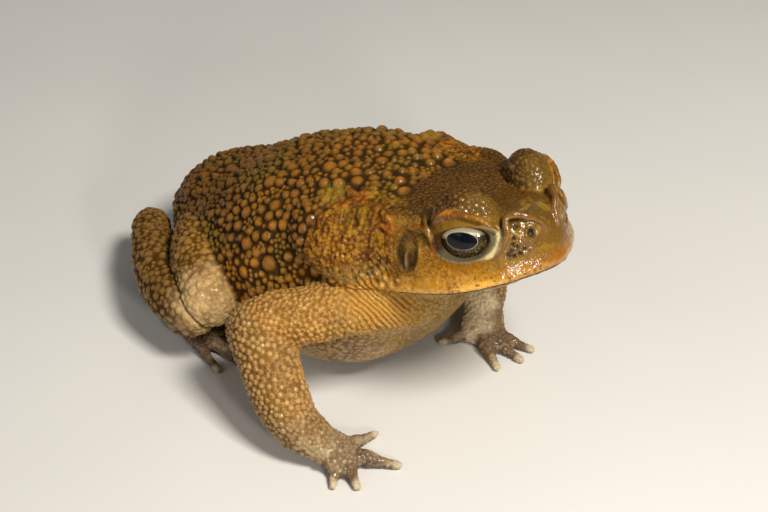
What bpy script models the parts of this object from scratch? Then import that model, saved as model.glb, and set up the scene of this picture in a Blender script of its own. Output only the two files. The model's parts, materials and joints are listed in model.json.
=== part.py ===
"""A cane toad sitting alert, life size, as a still museum model.

The toad faces +X, its left side is +Y, and the floor is at Z = 0. Sizes are written in
millimetres, and new_object() turns them into metres. Flesh is lofted from rings, one solid
for each named part. A part is cut back from the grown shape of the part that carries it,
so that the two meet face to face with a thin gap.
"""

import math
import random

import bmesh
import bpy
import numpy as np

MM = 0.001
GAP = 0.3  # clear space between touching parts
JAW_CLEARANCE = 0.9  # the same under the jaw, whose sides slope
SEED = 7
FAR = 200.0  # past every side of the toad
MERGE = 1e-6  # corners closer than this, in metres, become one

# Driving sizes of the trunk and head
HEAD_PITCH = math.radians(17.5)  # the nose is held up
HEAD_ORIGIN = np.array([25.0, 0.0, 40.0])  # midway between the corners of the mouth
NECK_X = -3.0  # the neck plane, along the head's own axis
NECK_OVERLAP = 3.0  # gaps by which a cutter at the neck runs past that plane
LIP_TUCK = 1.5  # how far the lower lip sits inside the upper one
LIP_FLARE = 0.7  # how far the upper lip stands out from the cheek
LIP_DEPTH = 2.4
MOUTH_SAG = 2.4  # the mouth's line drops towards its corners
MOUTH_SAG_END = 24.0

# Along the head's axis: x, half width at the lip, height above it, depth below it, squareness
HEAD_STATIONS = [
    (NECK_X, 22.0, 16.4, 11.5, 3.6),
    (3.0, 21.5, 16.2, 11.0, 3.6),
    (9.0, 20.9, 15.8, 10.4, 3.2),
    (14.0, 19.9, 15.2, 9.6, 2.8),
    (18.0, 18.6, 14.8, 8.6, 2.5),
    (22.0, 16.4, 14.4, 7.4, 2.5),
    (26.0, 13.0, 13.9, 6.0, 2.9),
    (28.8, 9.8, 13.5, 4.8, 3.1),
    (31.0, 6.5, 12.4, 3.6, 3.0),
    (32.5, 4.1, 10.6, 2.6, 2.7),
    (33.5, 1.9, 7.8, 1.7, 2.3),
    (33.9, 0.7, 5.0, 1.0, 2.0),
]
JAW_SQUARENESS = 1.7  # the lower jaw slopes in from the mouth

# Along the body: x, height of the widest line, half width, height above, depth below, lean
# and squareness of the upper half
TORSO_STATIONS = [
    (-65.5, 17.0, 2.5, 3.0, 3.0, -20.0, 2.0),
    (-63.0, 17.0, 9.0, 7.5, 8.0, -14.0, 2.0),
    (-56.0, 17.5, 16.0, 12.5, 13.0, -8.0, 2.0),
    (-44.0, 19.0, 24.0, 15.8, 18.4, -4.0, 2.0),
    (-30.0, 20.5, 29.5, 22.8, 20.9, 0.0, 2.0),
    (-15.0, 22.5, 32.0, 27.5, 22.9, 3.0, 2.1),
    (-1.0, 26.5, 30.5, 27.3, 26.5, 7.0, 2.2),
    (12.0, 32.5, 25.5, 22.8, 25.0, 12.0, 2.6),
]
BELLY_SQUARENESS = 2.7

# The eye, in the head's frame: its centre, where it looks, and its half sizes
EYE_CENTRE = np.array([17.1, 10.2, 9.5])
EYE_LOOK = np.array([0.47, 0.87, 0.15])
EYE_SIZE = np.array([7.0, 5.8, 7.0])  # along the lids, towards the pupil, and up
EYE_OPENING = (6.9, 3.3, 4.9)  # half width, height above and depth below the pupil
LID_CENTRE = np.array([18.2, 11.2, 12.0])
LID_SIZE = np.array([8.4, 5.4, 8.6])
LID_YAW = math.radians(33)  # the lids close in towards the snout

# The ear, in the head's frame
EAR_CENTRE = np.array([6.0, 20.0, 8.0])
EAR_SIZE = np.array([3.7, 1.4, 5.0])

NOSTRIL_CENTRE = np.array([31.4, 5.2, 9.1])
NOSTRIL_SIZE = np.array([1.2, 1.1, 0.8])

# Bony ridges of the head: x, y, height, radius, where a height of None lies on the skull
CREST_PATHS = {
    "canthal": [(32.7, 2.8, 9.4, 0.8), (31.4, 4.3, 11.8, 1.1), (29.6, 6.1, 13.0, 1.3),
                (27.5, 8.3, 13.0, 1.4), (27.3, 9.3, 9.8, 1.2), (25.9, 11.2, 6.6, 0.9)],
    "brow": [(27.4, 10.2, 13.4, 1.0), (24.0, 12.6, 15.4, 1.1), (20.0, 15.0, 16.6, 1.1),
             (15.8, 16.2, 16.2, 1.1), (13.2, 16.6, 13.6, 0.9)],
    "ear": [(12.4, 18.2, 9.0, 0.8), (12.0, 17.6, 12.6, 1.1), (9.0, 17.0, None, 1.2),
            (4.0, 17.0, None, 1.2), (-1.6, 16.6, None, 1.1)],
}

# The gland behind each ear: centre in the toad's frame, half sizes, turn and tilt
GLAND_CENTRE = np.array([9.0, 19.6, 45.4])
GLAND_SIZE = np.array([15.6, 12.6, 5.4])
GLAND_TAPER = 0.22  # wider towards the ear
GLAND_YAW = math.radians(-20)
GLAND_TIP = math.radians(5)
GLAND_ROLL = math.radians(-45)

# Limbs of each side as x, y outward, z, half width, half height
LIMBS = {
    "r": {
        "upper_arm": [(22.0, 12.0, 30.5, 8.6, 8.0), (14.5, 27.0, 30.2, 6.8, 6.4),
                      (3.0, 38.6, 27.0, 6.8, 6.8)],
        "forearm": [(0.6, 41.2, 25.0, 7.2, 7.4), (7.0, 43.6, 19.2, 7.0, 6.8),
                    (12.6, 45.6, 13.2, 6.6, 6.4), (17.6, 46.2, 8.8, 6.0, 5.6),
                    (22.0, 44.8, 6.2, 5.2, 4.8)],
        "hand": [(23.0, 44.0, 5.0, 4.9, 4.2), (28.5, 42.0, 2.8, 5.8, 2.9)],
        "thigh": [(-46.5, 13.0, 17.5, 8.0, 8.0), (-35.0, 26.5, 21.0, 7.4, 8.0),
                  (-22.5, 35.8, 19.0, 6.8, 7.2)],
        "shank": [(-25.0, 38.4, 15.4, 6.0, 6.2), (-38.0, 36.2, 14.6, 6.0, 6.2),
                  (-51.6, 27.6, 14.6, 5.8, 5.8), (-63.4, 18.4, 12.4, 4.9, 4.9)],
        "tarsus": [(-63.5, 17.0, 5.8, 4.3, 4.6), (-54.0, 22.5, 4.2, 4.0, 3.9),
                   (-44.0, 28.0, 3.4, 4.2, 3.3)],
        "foot": [(-44.5, 28.0, 3.0, 4.6, 3.0), (-35.5, 31.5, 2.4, 5.8, 2.4)],
    },
    "l": {
        "upper_arm": [(22.0, 12.0, 29.5, 9.0, 8.6), (11.5, 26.0, 28.5, 7.5, 7.2),
                      (2.5, 35.5, 25.5, 7.2, 7.0)],
        "forearm": [(1.2, 37.0, 24.0, 7.2, 7.4), (7.0, 33.0, 18.8, 7.0, 6.8),
                    (13.0, 27.4, 13.0, 6.3, 6.0), (18.2, 21.6, 8.0, 5.4, 5.0)],
        "hand": [(19.0, 20.6, 5.2, 4.9, 4.3), (22.5, 16.0, 2.8, 5.8, 2.9)],
        "thigh": [(-45.5, 13.0, 17.5, 8.0, 8.0), (-34.0, 26.0, 21.0, 7.4, 8.0),
                  (-21.5, 35.0, 19.0, 6.8, 7.2)],
        "shank": [(-24.0, 37.6, 15.4, 6.0, 6.2), (-37.0, 36.0, 14.6, 6.0, 6.2),
                  (-50.6, 27.8, 14.6, 5.8, 5.8), (-62.9, 18.6, 12.4, 4.9, 4.9)],
        "tarsus": [(-63.0, 17.2, 5.8, 4.3, 4.6), (-53.4, 22.8, 4.2, 4.0, 3.9),
                   (-43.0, 28.4, 3.4, 4.2, 3.3)],
        "foot": [(-43.5, 28.4, 3.0, 4.6, 3.0), (-34.5, 32.0, 2.4, 5.8, 2.4)],
    },
}
SIDE_SIGN = {"r": -1.0, "l": 1.0}

# Digits: root x, y outward, then tip x, y outward, and root radius
FINGERS = {
    "r": [((24.4, 38.4), (27.6, 29.6), 2.0), ((30.6, 39.6), (39.1, 34.2), 2.2),
          ((31.0, 43.0), (37.0, 46.0), 2.1), ((28.2, 45.8), (32.6, 49.6), 2.0)],
    "l": [((19.8, 13.4), (16.4, 7.2), 2.0), ((25.0, 12.6), (33.3, 8.8), 2.1),
          ((26.6, 15.2), (35.8, 15.2), 2.1), ((26.0, 18.6), (35.2, 20.2), 2.0)],
}
TOES = {
    "r": [((-39.4, 27.4), (-37.0, 20.4), 1.8), ((-35.6, 28.0), (-30.0, 21.8), 1.9),
          ((-32.6, 29.6), (-23.0, 26.4), 2.0), ((-31.0, 32.2), (-14.0, 33.0), 2.1),
          ((-32.4, 35.4), (-17.4, 38.6), 2.0)],
    "l": [((-38.4, 27.8), (-36.0, 20.8), 1.8), ((-34.6, 28.4), (-29.0, 22.2), 1.9),
          ((-31.6, 30.0), (-22.0, 26.8), 2.0), ((-30.0, 32.6), (-13.0, 33.4), 2.1),
          ((-31.4, 35.8), (-16.4, 39.0), 2.0)],
}
DIGIT_TIP = 0.62  # tip radius as a share of the root radius
SOLE_PRESS = 0.15  # how far a digit's underside is pressed flat
ROOT_LIFT = 0.7  # a digit's root lies this much higher than its tip

# The largest warts of each side: place along the body, degrees round it from its left side
# over the back, and radius
LARGE_WARTS = [(-2.0, 134, 2.6), (-7.7, 162, 2.4), (-20.1, 120, 2.2),
               (-21.0, 139, 2.0), (-16.6, 154, 1.9), (-13.7, 169, 1.9), (5.6, 114, 2.0),
               (11.4, 106, 1.9), (-3.6, 105, 2.1), (-12.4, 130, 1.9), (-11.4, 146, 1.7),
               (-28.4, 104, 2.0), (-27.2, 137, 1.8), (16.0, 90, 1.9), (0.0, 92, 1.8),
               (-36.0, 121, 2.0), (-45.5, 106, 2.0), (-52.1, 124, 1.8)]
TORSO_WARTS = 104
WART_RADII = (1.4, 2.1)
BROAD_WART = 1.7  # from this radius a wart has six sides, and five below it
LIMB_WART_RADII = (1.1, 1.6)
WART_HEIGHT = 0.5  # as a share of its radius
LIMB_WARTS = {"upper_arm": 5, "forearm": 6, "thigh": 5, "shank": 6}
WART_SPACE = 1.4
WART_TRIES = 4000
SKIN_ROWS = 80  # rows and sides of the fine skin on which warts are placed
SKIN_SIDES = 120
END_BENDS = (62, 30)  # where the round end of a limb has its rings, in degrees
DIGIT_BENDS = (46,)
TORSO_MESH = (28, 22)  # sides and rings
HEAD_RINGS = 18
LIMB_MESH = {"upper_arm": (12, 6), "forearm": (12, 7), "hand": (12, 3), "thigh": (12, 6),
             "shank": (12, 7), "tarsus": (10, 5), "foot": (10, 3)}
DIGIT_MESH = (7, 4)

COLOURS = {
    "back_skin": ((0.36, 0.20, 0.055), 0.5),
    "head_skin": ((0.33, 0.18, 0.05), 0.42),
    "jaw_skin": ((0.55, 0.37, 0.14), 0.45),
    "limb_skin": ((0.47, 0.31, 0.12), 0.5),
    "gland_skin": ((0.40, 0.23, 0.05), 0.45),
    "ear_skin": ((0.20, 0.13, 0.05), 0.4),
    "eye": ((0.04, 0.03, 0.02), 0.08),
}


def clear_scene():
    for obj in list(bpy.data.objects):
        bpy.data.objects.remove(obj, do_unlink=True)


def material(name):
    found = bpy.data.materials.get(name)
    if found:
        return found
    colour, roughness = COLOURS[name]
    made = bpy.data.materials.new(name)
    made.use_nodes = True
    shader = made.node_tree.nodes["Principled BSDF"]
    shader.inputs["Base Color"].default_value = (*colour, 1.0)
    shader.inputs["Roughness"].default_value = roughness
    shader.inputs["Metallic"].default_value = 0.0
    return made


def unit(vector):
    return np.asarray(vector, float) / np.linalg.norm(vector)


def spline_rows(rows, count):
    """A smooth curve through the rows, read at count even steps."""
    rows = np.array(rows, float)
    steps = np.linspace(0, len(rows) - 1, count)
    first = np.clip(steps.astype(int), 0, len(rows) - 2)
    f = (steps - first)[:, None]
    padded = np.vstack([2 * rows[0] - rows[1], rows, 2 * rows[-1] - rows[-2]])
    a, b, c, d = (padded[first + k] for k in range(4))
    cubic = (3 * b - a - 3 * c + d) * f**3
    return 0.5 * (2 * b + (c - a) * f + (2 * a - 5 * b + 4 * c - d) * f**2 + cubic)


def rounded_power(values, power):
    return np.sign(values) * np.abs(values) ** (2.0 / power)


def section(centre, across, up, half_width, above, below, sides, power=2.0, power_below=None):
    """A closed ring, widest at its centre's level, with its own height above and below."""
    turn = np.arange(sides) * 2 * math.pi / sides
    upper = np.sin(turn) > 0
    powers = np.where(upper, power, power if power_below is None else power_below)
    sideways = half_width * rounded_power(np.cos(turn), powers)
    height = np.where(upper, above, below) * rounded_power(np.sin(turn), powers)
    return centre + np.outer(sideways, across) + np.outer(height, up)


def new_object(name, points, faces, slot=None):
    mesh = bpy.data.meshes.new(name)
    mesh.from_pydata([tuple(p) for p in np.asarray(points) * MM], [], faces)
    if slot:
        mesh.materials.append(material(slot))
    obj = bpy.data.objects.new(name, mesh)
    bpy.context.scene.collection.objects.link(obj)
    face_outward(obj)
    return obj


def face_outward(obj):
    edit = bmesh.new()
    edit.from_mesh(obj.data)
    bmesh.ops.triangulate(edit, faces=edit.faces)
    bmesh.ops.recalc_face_normals(edit, faces=edit.faces)
    if edit.calc_volume(signed=True) < 0:
        bmesh.ops.reverse_faces(edit, faces=edit.faces)
    edit.to_mesh(obj.data)
    edit.free()


def loft(name, rings, slot=None):
    """One closed body through the rings, with a fan of faces over each end."""
    sides = len(rings[0])
    points = [p for ring in rings for p in ring]
    faces = []
    for r in range(len(rings) - 1):
        for k in range(sides):
            n = (k + 1) % sides
            faces.append((r * sides + k, r * sides + n, (r + 1) * sides + n, (r + 1) * sides + k))
    for start, ring in ((0, rings[0]), ((len(rings) - 1) * sides, rings[-1])):
        points.append(np.mean(ring, axis=0))
        hub = len(points) - 1
        faces += [(start + k, start + (k + 1) % sides, hub) for k in range(sides)]
    return new_object(name, points, faces, slot)


def tube(name, rows, sides, rings, grow=0.0, slot=None, bends=END_BENDS):
    """A limb: x, y, z, half width and half height in each row, with a round end at both ends."""
    rows = spline_rows(rows, rings)
    rows[:, 3:5] += grow
    heading = np.gradient(rows[:, :3], axis=0)
    made = []
    for i, (row, way) in enumerate(zip(rows, heading)):
        way = unit(way)
        across = unit(np.cross(way, (0, 0, 1)))
        up = np.cross(across, way)
        caps = [(0.0, 1.0)]
        reach = 0.5 * (row[3] + row[4])
        if i in (0, len(rows) - 1):
            end = -1 if i == 0 else 1
            bend = [math.radians(a) for a in bends]
            caps += [(end * reach * math.sin(a), math.cos(a)) for a in bend]
            caps.sort()
        for along, share in caps:
            centre = row[:3] + way * along
            made.append(section(centre, across, up, row[3] * share, row[4] * share,
                                row[4] * share, sides))
    return loft(name, made, slot)


def ball(name, centre, sizes, turn=None, sides=20, rings=12, slot=None, taper=0.0):
    """An ellipsoid with its pole along its own Y axis, turned by turn, wider towards its +X."""
    turn = np.eye(3) if turn is None else turn
    made = []
    for k in range(1, rings):
        a = math.pi * k / rings
        circle = section(np.zeros(3), np.array([1.0, 0, 0]), np.array([0, 0, 1.0]),
                         math.sin(a), math.sin(a), math.sin(a), sides)
        circle[:, 1] = math.cos(a)
        circle[:, 2] *= 1 + taper * circle[:, 0]
        made.append((circle * sizes) @ np.asarray(turn).T + centre)
    return loft(name, made, slot)


def head_point(p):
    """A point in the head's frame, in the toad's frame."""
    forward = np.array([math.cos(HEAD_PITCH), 0, math.sin(HEAD_PITCH)])
    up = np.array([-math.sin(HEAD_PITCH), 0, math.cos(HEAD_PITCH)])
    p = np.asarray(p, float)
    return HEAD_ORIGIN + p[..., :1] * forward + p[..., 1:2] * [0, 1, 0] + p[..., 2:3] * up


HEAD_TURN = np.column_stack([head_point(axis) - HEAD_ORIGIN for axis in np.eye(3)])


def mouth_height(x):
    """The line of the mouth, level in front and lower towards its corners."""
    return -MOUTH_SAG * max(0.0, 1 - x / MOUTH_SAG_END) ** 2


def skull_height(x, y):
    """The height of the skull's surface over a point of the head's frame."""
    rows = spline_rows(HEAD_STATIONS, 120)
    wide, above, power = (np.interp(x, rows[:, 0], rows[:, k]) for k in (1, 2, 4))
    share = min(abs(y) / wide, 0.98)
    return above * (1 - share**power) ** (1 / power)


def head_half(name, upper, grow=0.0, slot="head_skin"):
    """The skull above the line of the mouth, or the lower jaw below it."""
    made = []
    arc = np.linspace(0, math.pi, 17 if upper else 13)
    base = GAP / 2 - grow
    for x, wide, above, below, power in spline_rows(HEAD_STATIONS, HEAD_RINGS):
        level = mouth_height(x)
        wide += grow
        if upper:
            height = base + (above - level + grow - base) * rounded_power(np.sin(arc), power)
            across = wide * rounded_power(np.cos(arc), power)
            flare = LIP_FLARE * np.exp(-((height / LIP_DEPTH) ** 2)) * min(1.0, wide / 5)
            across += flare * np.sign(across)
        else:
            wide = max(wide - LIP_TUCK, 0.4 * wide)
            depth = (below + level + grow - base) * rounded_power(np.sin(arc), JAW_SQUARENESS)
            height = -base - depth
            across = wide * rounded_power(np.cos(arc), JAW_SQUARENESS)
        floor = np.linspace(across[-1], across[0], 6)[1:-1]
        y = np.concatenate([across, floor])
        z = np.concatenate([height, np.full(len(floor), height[0])]) + level
        made.append(head_point(np.column_stack([np.full(len(y), x), y, z])))
    made[0] -= NECK_OVERLAP * grow * HEAD_TURN[:, 0]  # a cutter reaches well into the trunk
    return loft(name, made, slot)


def torso_rows(rings):
    """The trunk's sizes at even steps, ending in the shape of the head at the neck."""
    _, wide, above, below, power = HEAD_STATIONS[0]
    behind = head_point((NECK_X - GAP, 0, 0))
    last = (behind[0], behind[2], wide, above, below, math.degrees(HEAD_PITCH), power)
    return spline_rows(TORSO_STATIONS + [last], rings)


def torso_ring(row, grow, sides):
    x, z, wide, above, below, lean, power = row
    up = np.array([-math.sin(math.radians(lean)), 0, math.cos(math.radians(lean))])
    return section(np.array([x, 0, z]), np.array([0, 1.0, 0]), up, wide + grow, above + grow,
                   below + grow, sides, power, BELLY_SQUARENESS)


def torso_shape(name, grow=0.0, slot=None):
    sides, rings = TORSO_MESH
    made = [torso_ring(row, grow, sides) for row in torso_rows(rings)]
    return loft(name, made, slot)


def flipped(rows, side):
    """Limb rows with y measured outward, on the toad's right or left."""
    return [(r[0], SIDE_SIGN[side] * r[1], *r[2:]) for r in rows]


def remove(obj):
    mesh = obj.data
    bpy.data.objects.remove(obj, do_unlink=True)
    bpy.data.meshes.remove(mesh)


def boolean(obj, others, operation):
    """Joins the others to obj, or cuts them from it, and removes them."""
    group = bpy.data.collections.new("pieces")
    bpy.context.scene.collection.children.link(group)
    for other in others:
        group.objects.link(other)
        bpy.context.scene.collection.objects.unlink(other)
    modifier = obj.modifiers.new("Boolean", "BOOLEAN")
    modifier.operation = operation
    modifier.operand_type = "COLLECTION"
    modifier.collection = group
    modifier.solver = "MANIFOLD"
    graph = bpy.context.evaluated_depsgraph_get()
    graph.update()
    made = bpy.data.meshes.new_from_object(obj.evaluated_get(graph))
    obj.modifiers.clear()
    old = obj.data
    obj.data = made
    bpy.data.meshes.remove(old)
    for other in list(group.objects):
        remove(other)
    bpy.data.collections.remove(group)


def keep_largest(obj):
    """Drops scraps and sealed hollows, so that one closed surface is left."""
    edit = bmesh.new()
    edit.from_mesh(obj.data)
    bmesh.ops.triangulate(edit, faces=edit.faces, ngon_method="EAR_CLIP")
    bmesh.ops.remove_doubles(edit, verts=edit.verts, dist=MERGE)
    left = set(edit.faces)
    islands = []
    while left:
        seed = left.pop()
        island = [seed]
        for face in island:
            for edge in face.edges:
                for other in edge.link_faces:
                    if other in left:
                        left.remove(other)
                        island.append(other)
        islands.append(island)
    islands.sort(key=lambda faces: sum(f.calc_area() for f in faces), reverse=True)
    for scrap in islands[1:]:
        bmesh.ops.delete(edit, geom=scrap, context="FACES")
    bmesh.ops.delete(edit, geom=[v for v in edit.verts if not v.link_faces], context="VERTS")
    edit.to_mesh(obj.data)
    edit.free()


def block(low, high, place=np.asarray):
    """A box between two corners, moved by the function place."""
    corners = [(x, y, z) for x in (low[0], high[0]) for y in (low[1], high[1])
               for z in (low[2], high[2])]
    faces = [(0, 1, 3, 2), (4, 6, 7, 5), (0, 4, 5, 1), (2, 3, 7, 6), (0, 2, 6, 4), (1, 5, 7, 3)]
    return new_object("block", [place(c) for c in corners], faces)


def floor_block():
    return block((-FAR, -FAR, -FAR), (FAR, FAR, 0.0))


def wart(point, outward, radius):
    """A low round dome with its root sunk under the skin."""
    outward = unit(outward)
    across = unit(np.cross(outward, (0.31, 0.23, 0.92)))
    along = np.cross(outward, across)
    height = WART_HEIGHT * radius
    sides = 6 if radius > BROAD_WART else 5
    levels = ((-0.8, 1.2), (0.58, 0.7))
    rings = [section(point + outward * height * level, across, along, radius * share,
                     radius * share, radius * share, sides) for level, share in levels]
    made = loft("wart", rings)
    top = made.data.vertices[len(rings) * sides + 1]
    top.co = (point + outward * height) * MM
    return made


def gland_turn(side):
    """The gland's own axes as columns: along it, out of the skin, and across it."""
    s = SIDE_SIGN[side]
    along = unit((math.cos(GLAND_YAW), s * math.sin(GLAND_YAW), math.sin(GLAND_TIP)))
    out = unit((0.0, s * math.cos(GLAND_ROLL), -math.sin(GLAND_ROLL)))
    out = unit(out - along * np.dot(out, along))
    return np.column_stack([along, out, np.cross(along, out)])


def gland(side, grow=0.0, name=None):
    """The long pad behind the ear, wider in front than behind."""
    s = SIDE_SIGN[side]
    centre = GLAND_CENTRE * [1, s, 1]
    sizes = np.array([GLAND_SIZE[0], GLAND_SIZE[2], GLAND_SIZE[1]]) + grow
    return ball(name or f"parotoid_gland_{side}", centre, sizes, gland_turn(side), 16, 9,
                "gland_skin", GLAND_TAPER)


def limb_clearance(point, keep_out):
    """The smallest distance from the point to the surface of the limbs named."""
    best = 1e9
    for rows in keep_out:
        line = spline_rows(rows, 12)
        apart = np.linalg.norm(line[:, :3] - point, axis=1) - line[:, 3:5].max(axis=1)
        best = min(best, apart.min())
    return best


def torso_place(rows, row, degrees):
    """A point of the trunk's surface and the way out of it there."""
    k = round(degrees / 360 * SKIN_SIDES) % SKIN_SIDES
    row = min(row, SKIN_ROWS - 2)
    before, ring, after = (torso_ring(rows[row + step], 0.0, SKIN_SIDES) for step in (-1, 0, 1))
    outward = unit(np.cross(ring[(k + 1) % SKIN_SIDES] - ring[k - 1], after[k] - before[k]))
    middle = [ring[k][0], 0, rows[row][1]]
    return ring[k], outward if np.dot(outward, ring[k] - middle) > 0 else -outward


def scatter_torso_warts():
    """The large warts of both sides, then others spread evenly between them."""
    draw = random.Random(SEED)
    rows = torso_rows(SKIN_ROWS)
    keep_out = [flipped(LIMBS[s][k], s) for s in LIMBS for k in ("upper_arm", "thigh", "shank")]
    wanted = []
    for x, degrees, radius in LARGE_WARTS:
        wanted.append((np.argmin(abs(rows[:, 0] - x)), degrees, radius))
        x += draw.uniform(-2, 2)
        wanted.append((np.argmin(abs(rows[:, 0] - x)), 180 - degrees + draw.uniform(-5, 5), radius))
    for _ in range(WART_TRIES):
        radius = WART_RADII[0] + (WART_RADII[1] - WART_RADII[0]) * draw.random() ** 2
        wanted.append((draw.randint(4, SKIN_ROWS - 4), draw.uniform(-4, 184), radius))
    placed = []
    for row, degrees, radius in wanted:
        point, outward = torso_place(rows, row, degrees)
        ahead = np.dot(point - head_point((NECK_X, 0, 0)), HEAD_TURN[:, 0])
        clear = min(limb_clearance(point, keep_out), gland_clearance(point), -ahead - 1.6)
        apart = min([np.linalg.norm(point - p[0]) - p[2] for p in placed], default=FAR)
        if clear > radius + 1.2 and apart > radius + WART_SPACE:
            placed.append((point, outward, radius))
        if len(placed) == TORSO_WARTS:
            break
    return placed


def gland_clearance(point):
    best = 1e9
    for side, s in SIDE_SIGN.items():
        local = (point - GLAND_CENTRE * [1, s, 1]) @ gland_turn(side)
        scaled = local / [GLAND_SIZE[0], GLAND_SIZE[2], GLAND_SIZE[1]]
        size = np.linalg.norm(scaled)
        best = min(best, np.linalg.norm(local) * (1 - 1 / max(size, 1e-6)))
    return best


def scatter_limb_warts(side, part, count):
    """Warts on the outer side of one limb, in rows round its axis."""
    draw = random.Random(f"{SEED}{side}{part}")
    rows = spline_rows(flipped(LIMBS[side][part], side), 40)
    others = [flipped(LIMBS[side][k], side) for k in LIMBS[side] if k != part]
    placed = []
    tries = 0
    while len(placed) < count and tries < 1500:
        tries += 1
        i = draw.randint(5, 34)
        way = unit(rows[i + 1][:3] - rows[i - 1][:3])
        across = unit(np.cross(way, (0, 0, 1)))
        up = np.cross(across, way)
        turn = math.radians(draw.uniform(0, 360))
        outward = across * math.cos(turn) + up * math.sin(turn)
        if outward[2] < -0.25 or outward[1] * SIDE_SIGN[side] < -0.35:
            continue
        point = rows[i][:3] + across * rows[i][3] * math.cos(turn) + up * rows[i][4] * math.sin(turn)
        radius = draw.uniform(*LIMB_WART_RADII)
        if limb_clearance(point, others) < radius + 1.0 or torso_clearance(point) < radius + 1.6:
            continue
        if all(np.linalg.norm(point - p[0]) > 1.6 + radius + p[2] for p in placed):
            placed.append((point, outward, radius))
    return placed


def torso_clearance(point):
    rows = torso_rows(40)
    near = rows[np.argmin(np.abs(rows[:, 0] - point[0]))]
    ring = torso_ring(near, 0.0, 48)
    centre = np.array([near[0], 0, near[1]])
    apart = np.linalg.norm(ring - point, axis=1).min()
    inside = np.linalg.norm(point - centre) < np.linalg.norm(ring - centre, axis=1).min()
    return -apart if inside else apart


def build_torso():
    torso = torso_shape("torso", slot="back_skin")
    domes = [wart(*place) for place in scatter_torso_warts()]
    boolean(torso, domes, "UNION")
    boolean(torso, [floor_block()], "DIFFERENCE")
    return torso


def eye_turn(s):
    """The eye's own axes as columns: along the lids, towards the pupil, and up."""
    look = unit(HEAD_TURN @ (EYE_LOOK * [1, s, 1]))
    up = HEAD_TURN[:, 2]
    up = unit(up - look * np.dot(up, look))
    return np.column_stack([np.cross(look, up), look, up])


def eye_ball(s, grow=0.0, name="socket", slot=None):
    centre = head_point(EYE_CENTRE * [1, s, 1])
    return ball(name, centre, EYE_SIZE + grow, eye_turn(s), 16, 9, slot)


def eye_opening(s):
    """A wedge through the lids: flatter above, rounder below."""
    wide, above, below = EYE_OPENING
    turn = eye_turn(s)
    centre = head_point(EYE_CENTRE * [1, s, 1])
    round_it = np.arange(18) * 2 * math.pi / 18
    rings = []
    for deep, spread in ((2.0, 0.6), (12.0, 1.55)):
        u = wide * spread * np.cos(round_it)
        v = np.where(np.sin(round_it) > 0, above, below) * spread * np.sin(round_it)
        rings.append(centre + turn[:, 1] * deep + np.outer(u, turn[:, 0]) + np.outer(v, turn[:, 2]))
    return loft("eye_opening", rings)


def lid(s):
    """The bulge of both lids, its long axis closing in towards the snout."""
    along = np.array([math.cos(LID_YAW), -s * math.sin(LID_YAW), 0.0])
    across = np.array([s * math.sin(LID_YAW), math.cos(LID_YAW), 0.0])
    turn = HEAD_TURN @ np.column_stack([along, across, [0, 0, 1.0]])
    return ball("lid", head_point(LID_CENTRE * [1, s, 1]), LID_SIZE, turn, 16, 10)


def crest(path, s):
    """A low ridge of bone, sunk in the skull by most of its thickness."""
    rows = []
    for x, y, z, radius in path:
        height = skull_height(x, y) if z is None else z
        rows.append((*head_point((x, s * y, height)), radius, radius))
    return tube("crest", rows, 6, 6, bends=DIGIT_BENDS)


def build_head():
    skull = head_half("head", True)
    added = []
    cuts = []
    for s in SIDE_SIGN.values():
        mirror = np.array([1, s, 1])
        added += [lid(s)] + [crest(path, s) for path in CREST_PATHS.values()]
        cuts += [eye_ball(s, GAP), eye_opening(s)]
        cuts.append(ball("ear_seat", head_point(EAR_CENTRE * mirror), EAR_SIZE + GAP,
                         HEAD_TURN, 14, 6))
        cuts.append(ball("nostril", head_point(NOSTRIL_CENTRE * mirror), NOSTRIL_SIZE,
                         HEAD_TURN, 10, 6))
    boolean(skull, added, "UNION")
    boolean(skull, cuts, "DIFFERENCE")
    return skull


def build_eyes_and_ears():
    for side, s in SIDE_SIGN.items():
        eye_ball(s, 0.0, f"eye_{side}", "eye")
        ear = ball(f"tympanum_{side}", head_point(EAR_CENTRE * [1, s, 1]), EAR_SIZE, HEAD_TURN,
                   14, 6, "ear_skin")
        boolean(ear, [gland(side, GAP, "gland_room")], "DIFFERENCE")


def build_glands():
    for side in SIDE_SIGN:
        pad = gland(side)
        ahead = block((NECK_X - NECK_OVERLAP * GAP, -FAR, -FAR), (FAR, FAR, FAR), head_point)
        boolean(pad, [torso_shape("cut", GAP), ahead], "DIFFERENCE")
        keep_largest(pad)


def grown_head(upper):
    """The skull or the jaw with clear space round it, to cut the flesh that meets it."""
    return head_half("cut", upper, GAP if upper else JAW_CLEARANCE)


def build_limb(side):
    """Each part is cut clear of the parts before it, and soles are pressed flat."""
    shapes = {}
    for part, rows in LIMBS[side].items():
        rows = flipped(rows, side)
        obj = tube(f"{part}_{side}", rows, *LIMB_MESH[part], 0.0, "limb_skin")
        if part in LIMB_WARTS:
            domes = [wart(*place)
                     for place in scatter_limb_warts(side, part, LIMB_WARTS[part])]
            boolean(obj, domes, "UNION")
        cutters = [torso_shape("cut", GAP)]
        if part == "upper_arm":
            cutters += [gland(side, GAP, "cut"), grown_head(True), grown_head(False)]
        front = ("upper_arm", "forearm", "hand")
        for before, before_rows in shapes.items():
            if (before in front) == (part in front):
                cutters.append(tube("cut", before_rows, *LIMB_MESH[before], GAP))
        cutters.append(floor_block())
        boolean(obj, cutters, "DIFFERENCE")
        keep_largest(obj)
        shapes[part] = rows
    return shapes


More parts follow.
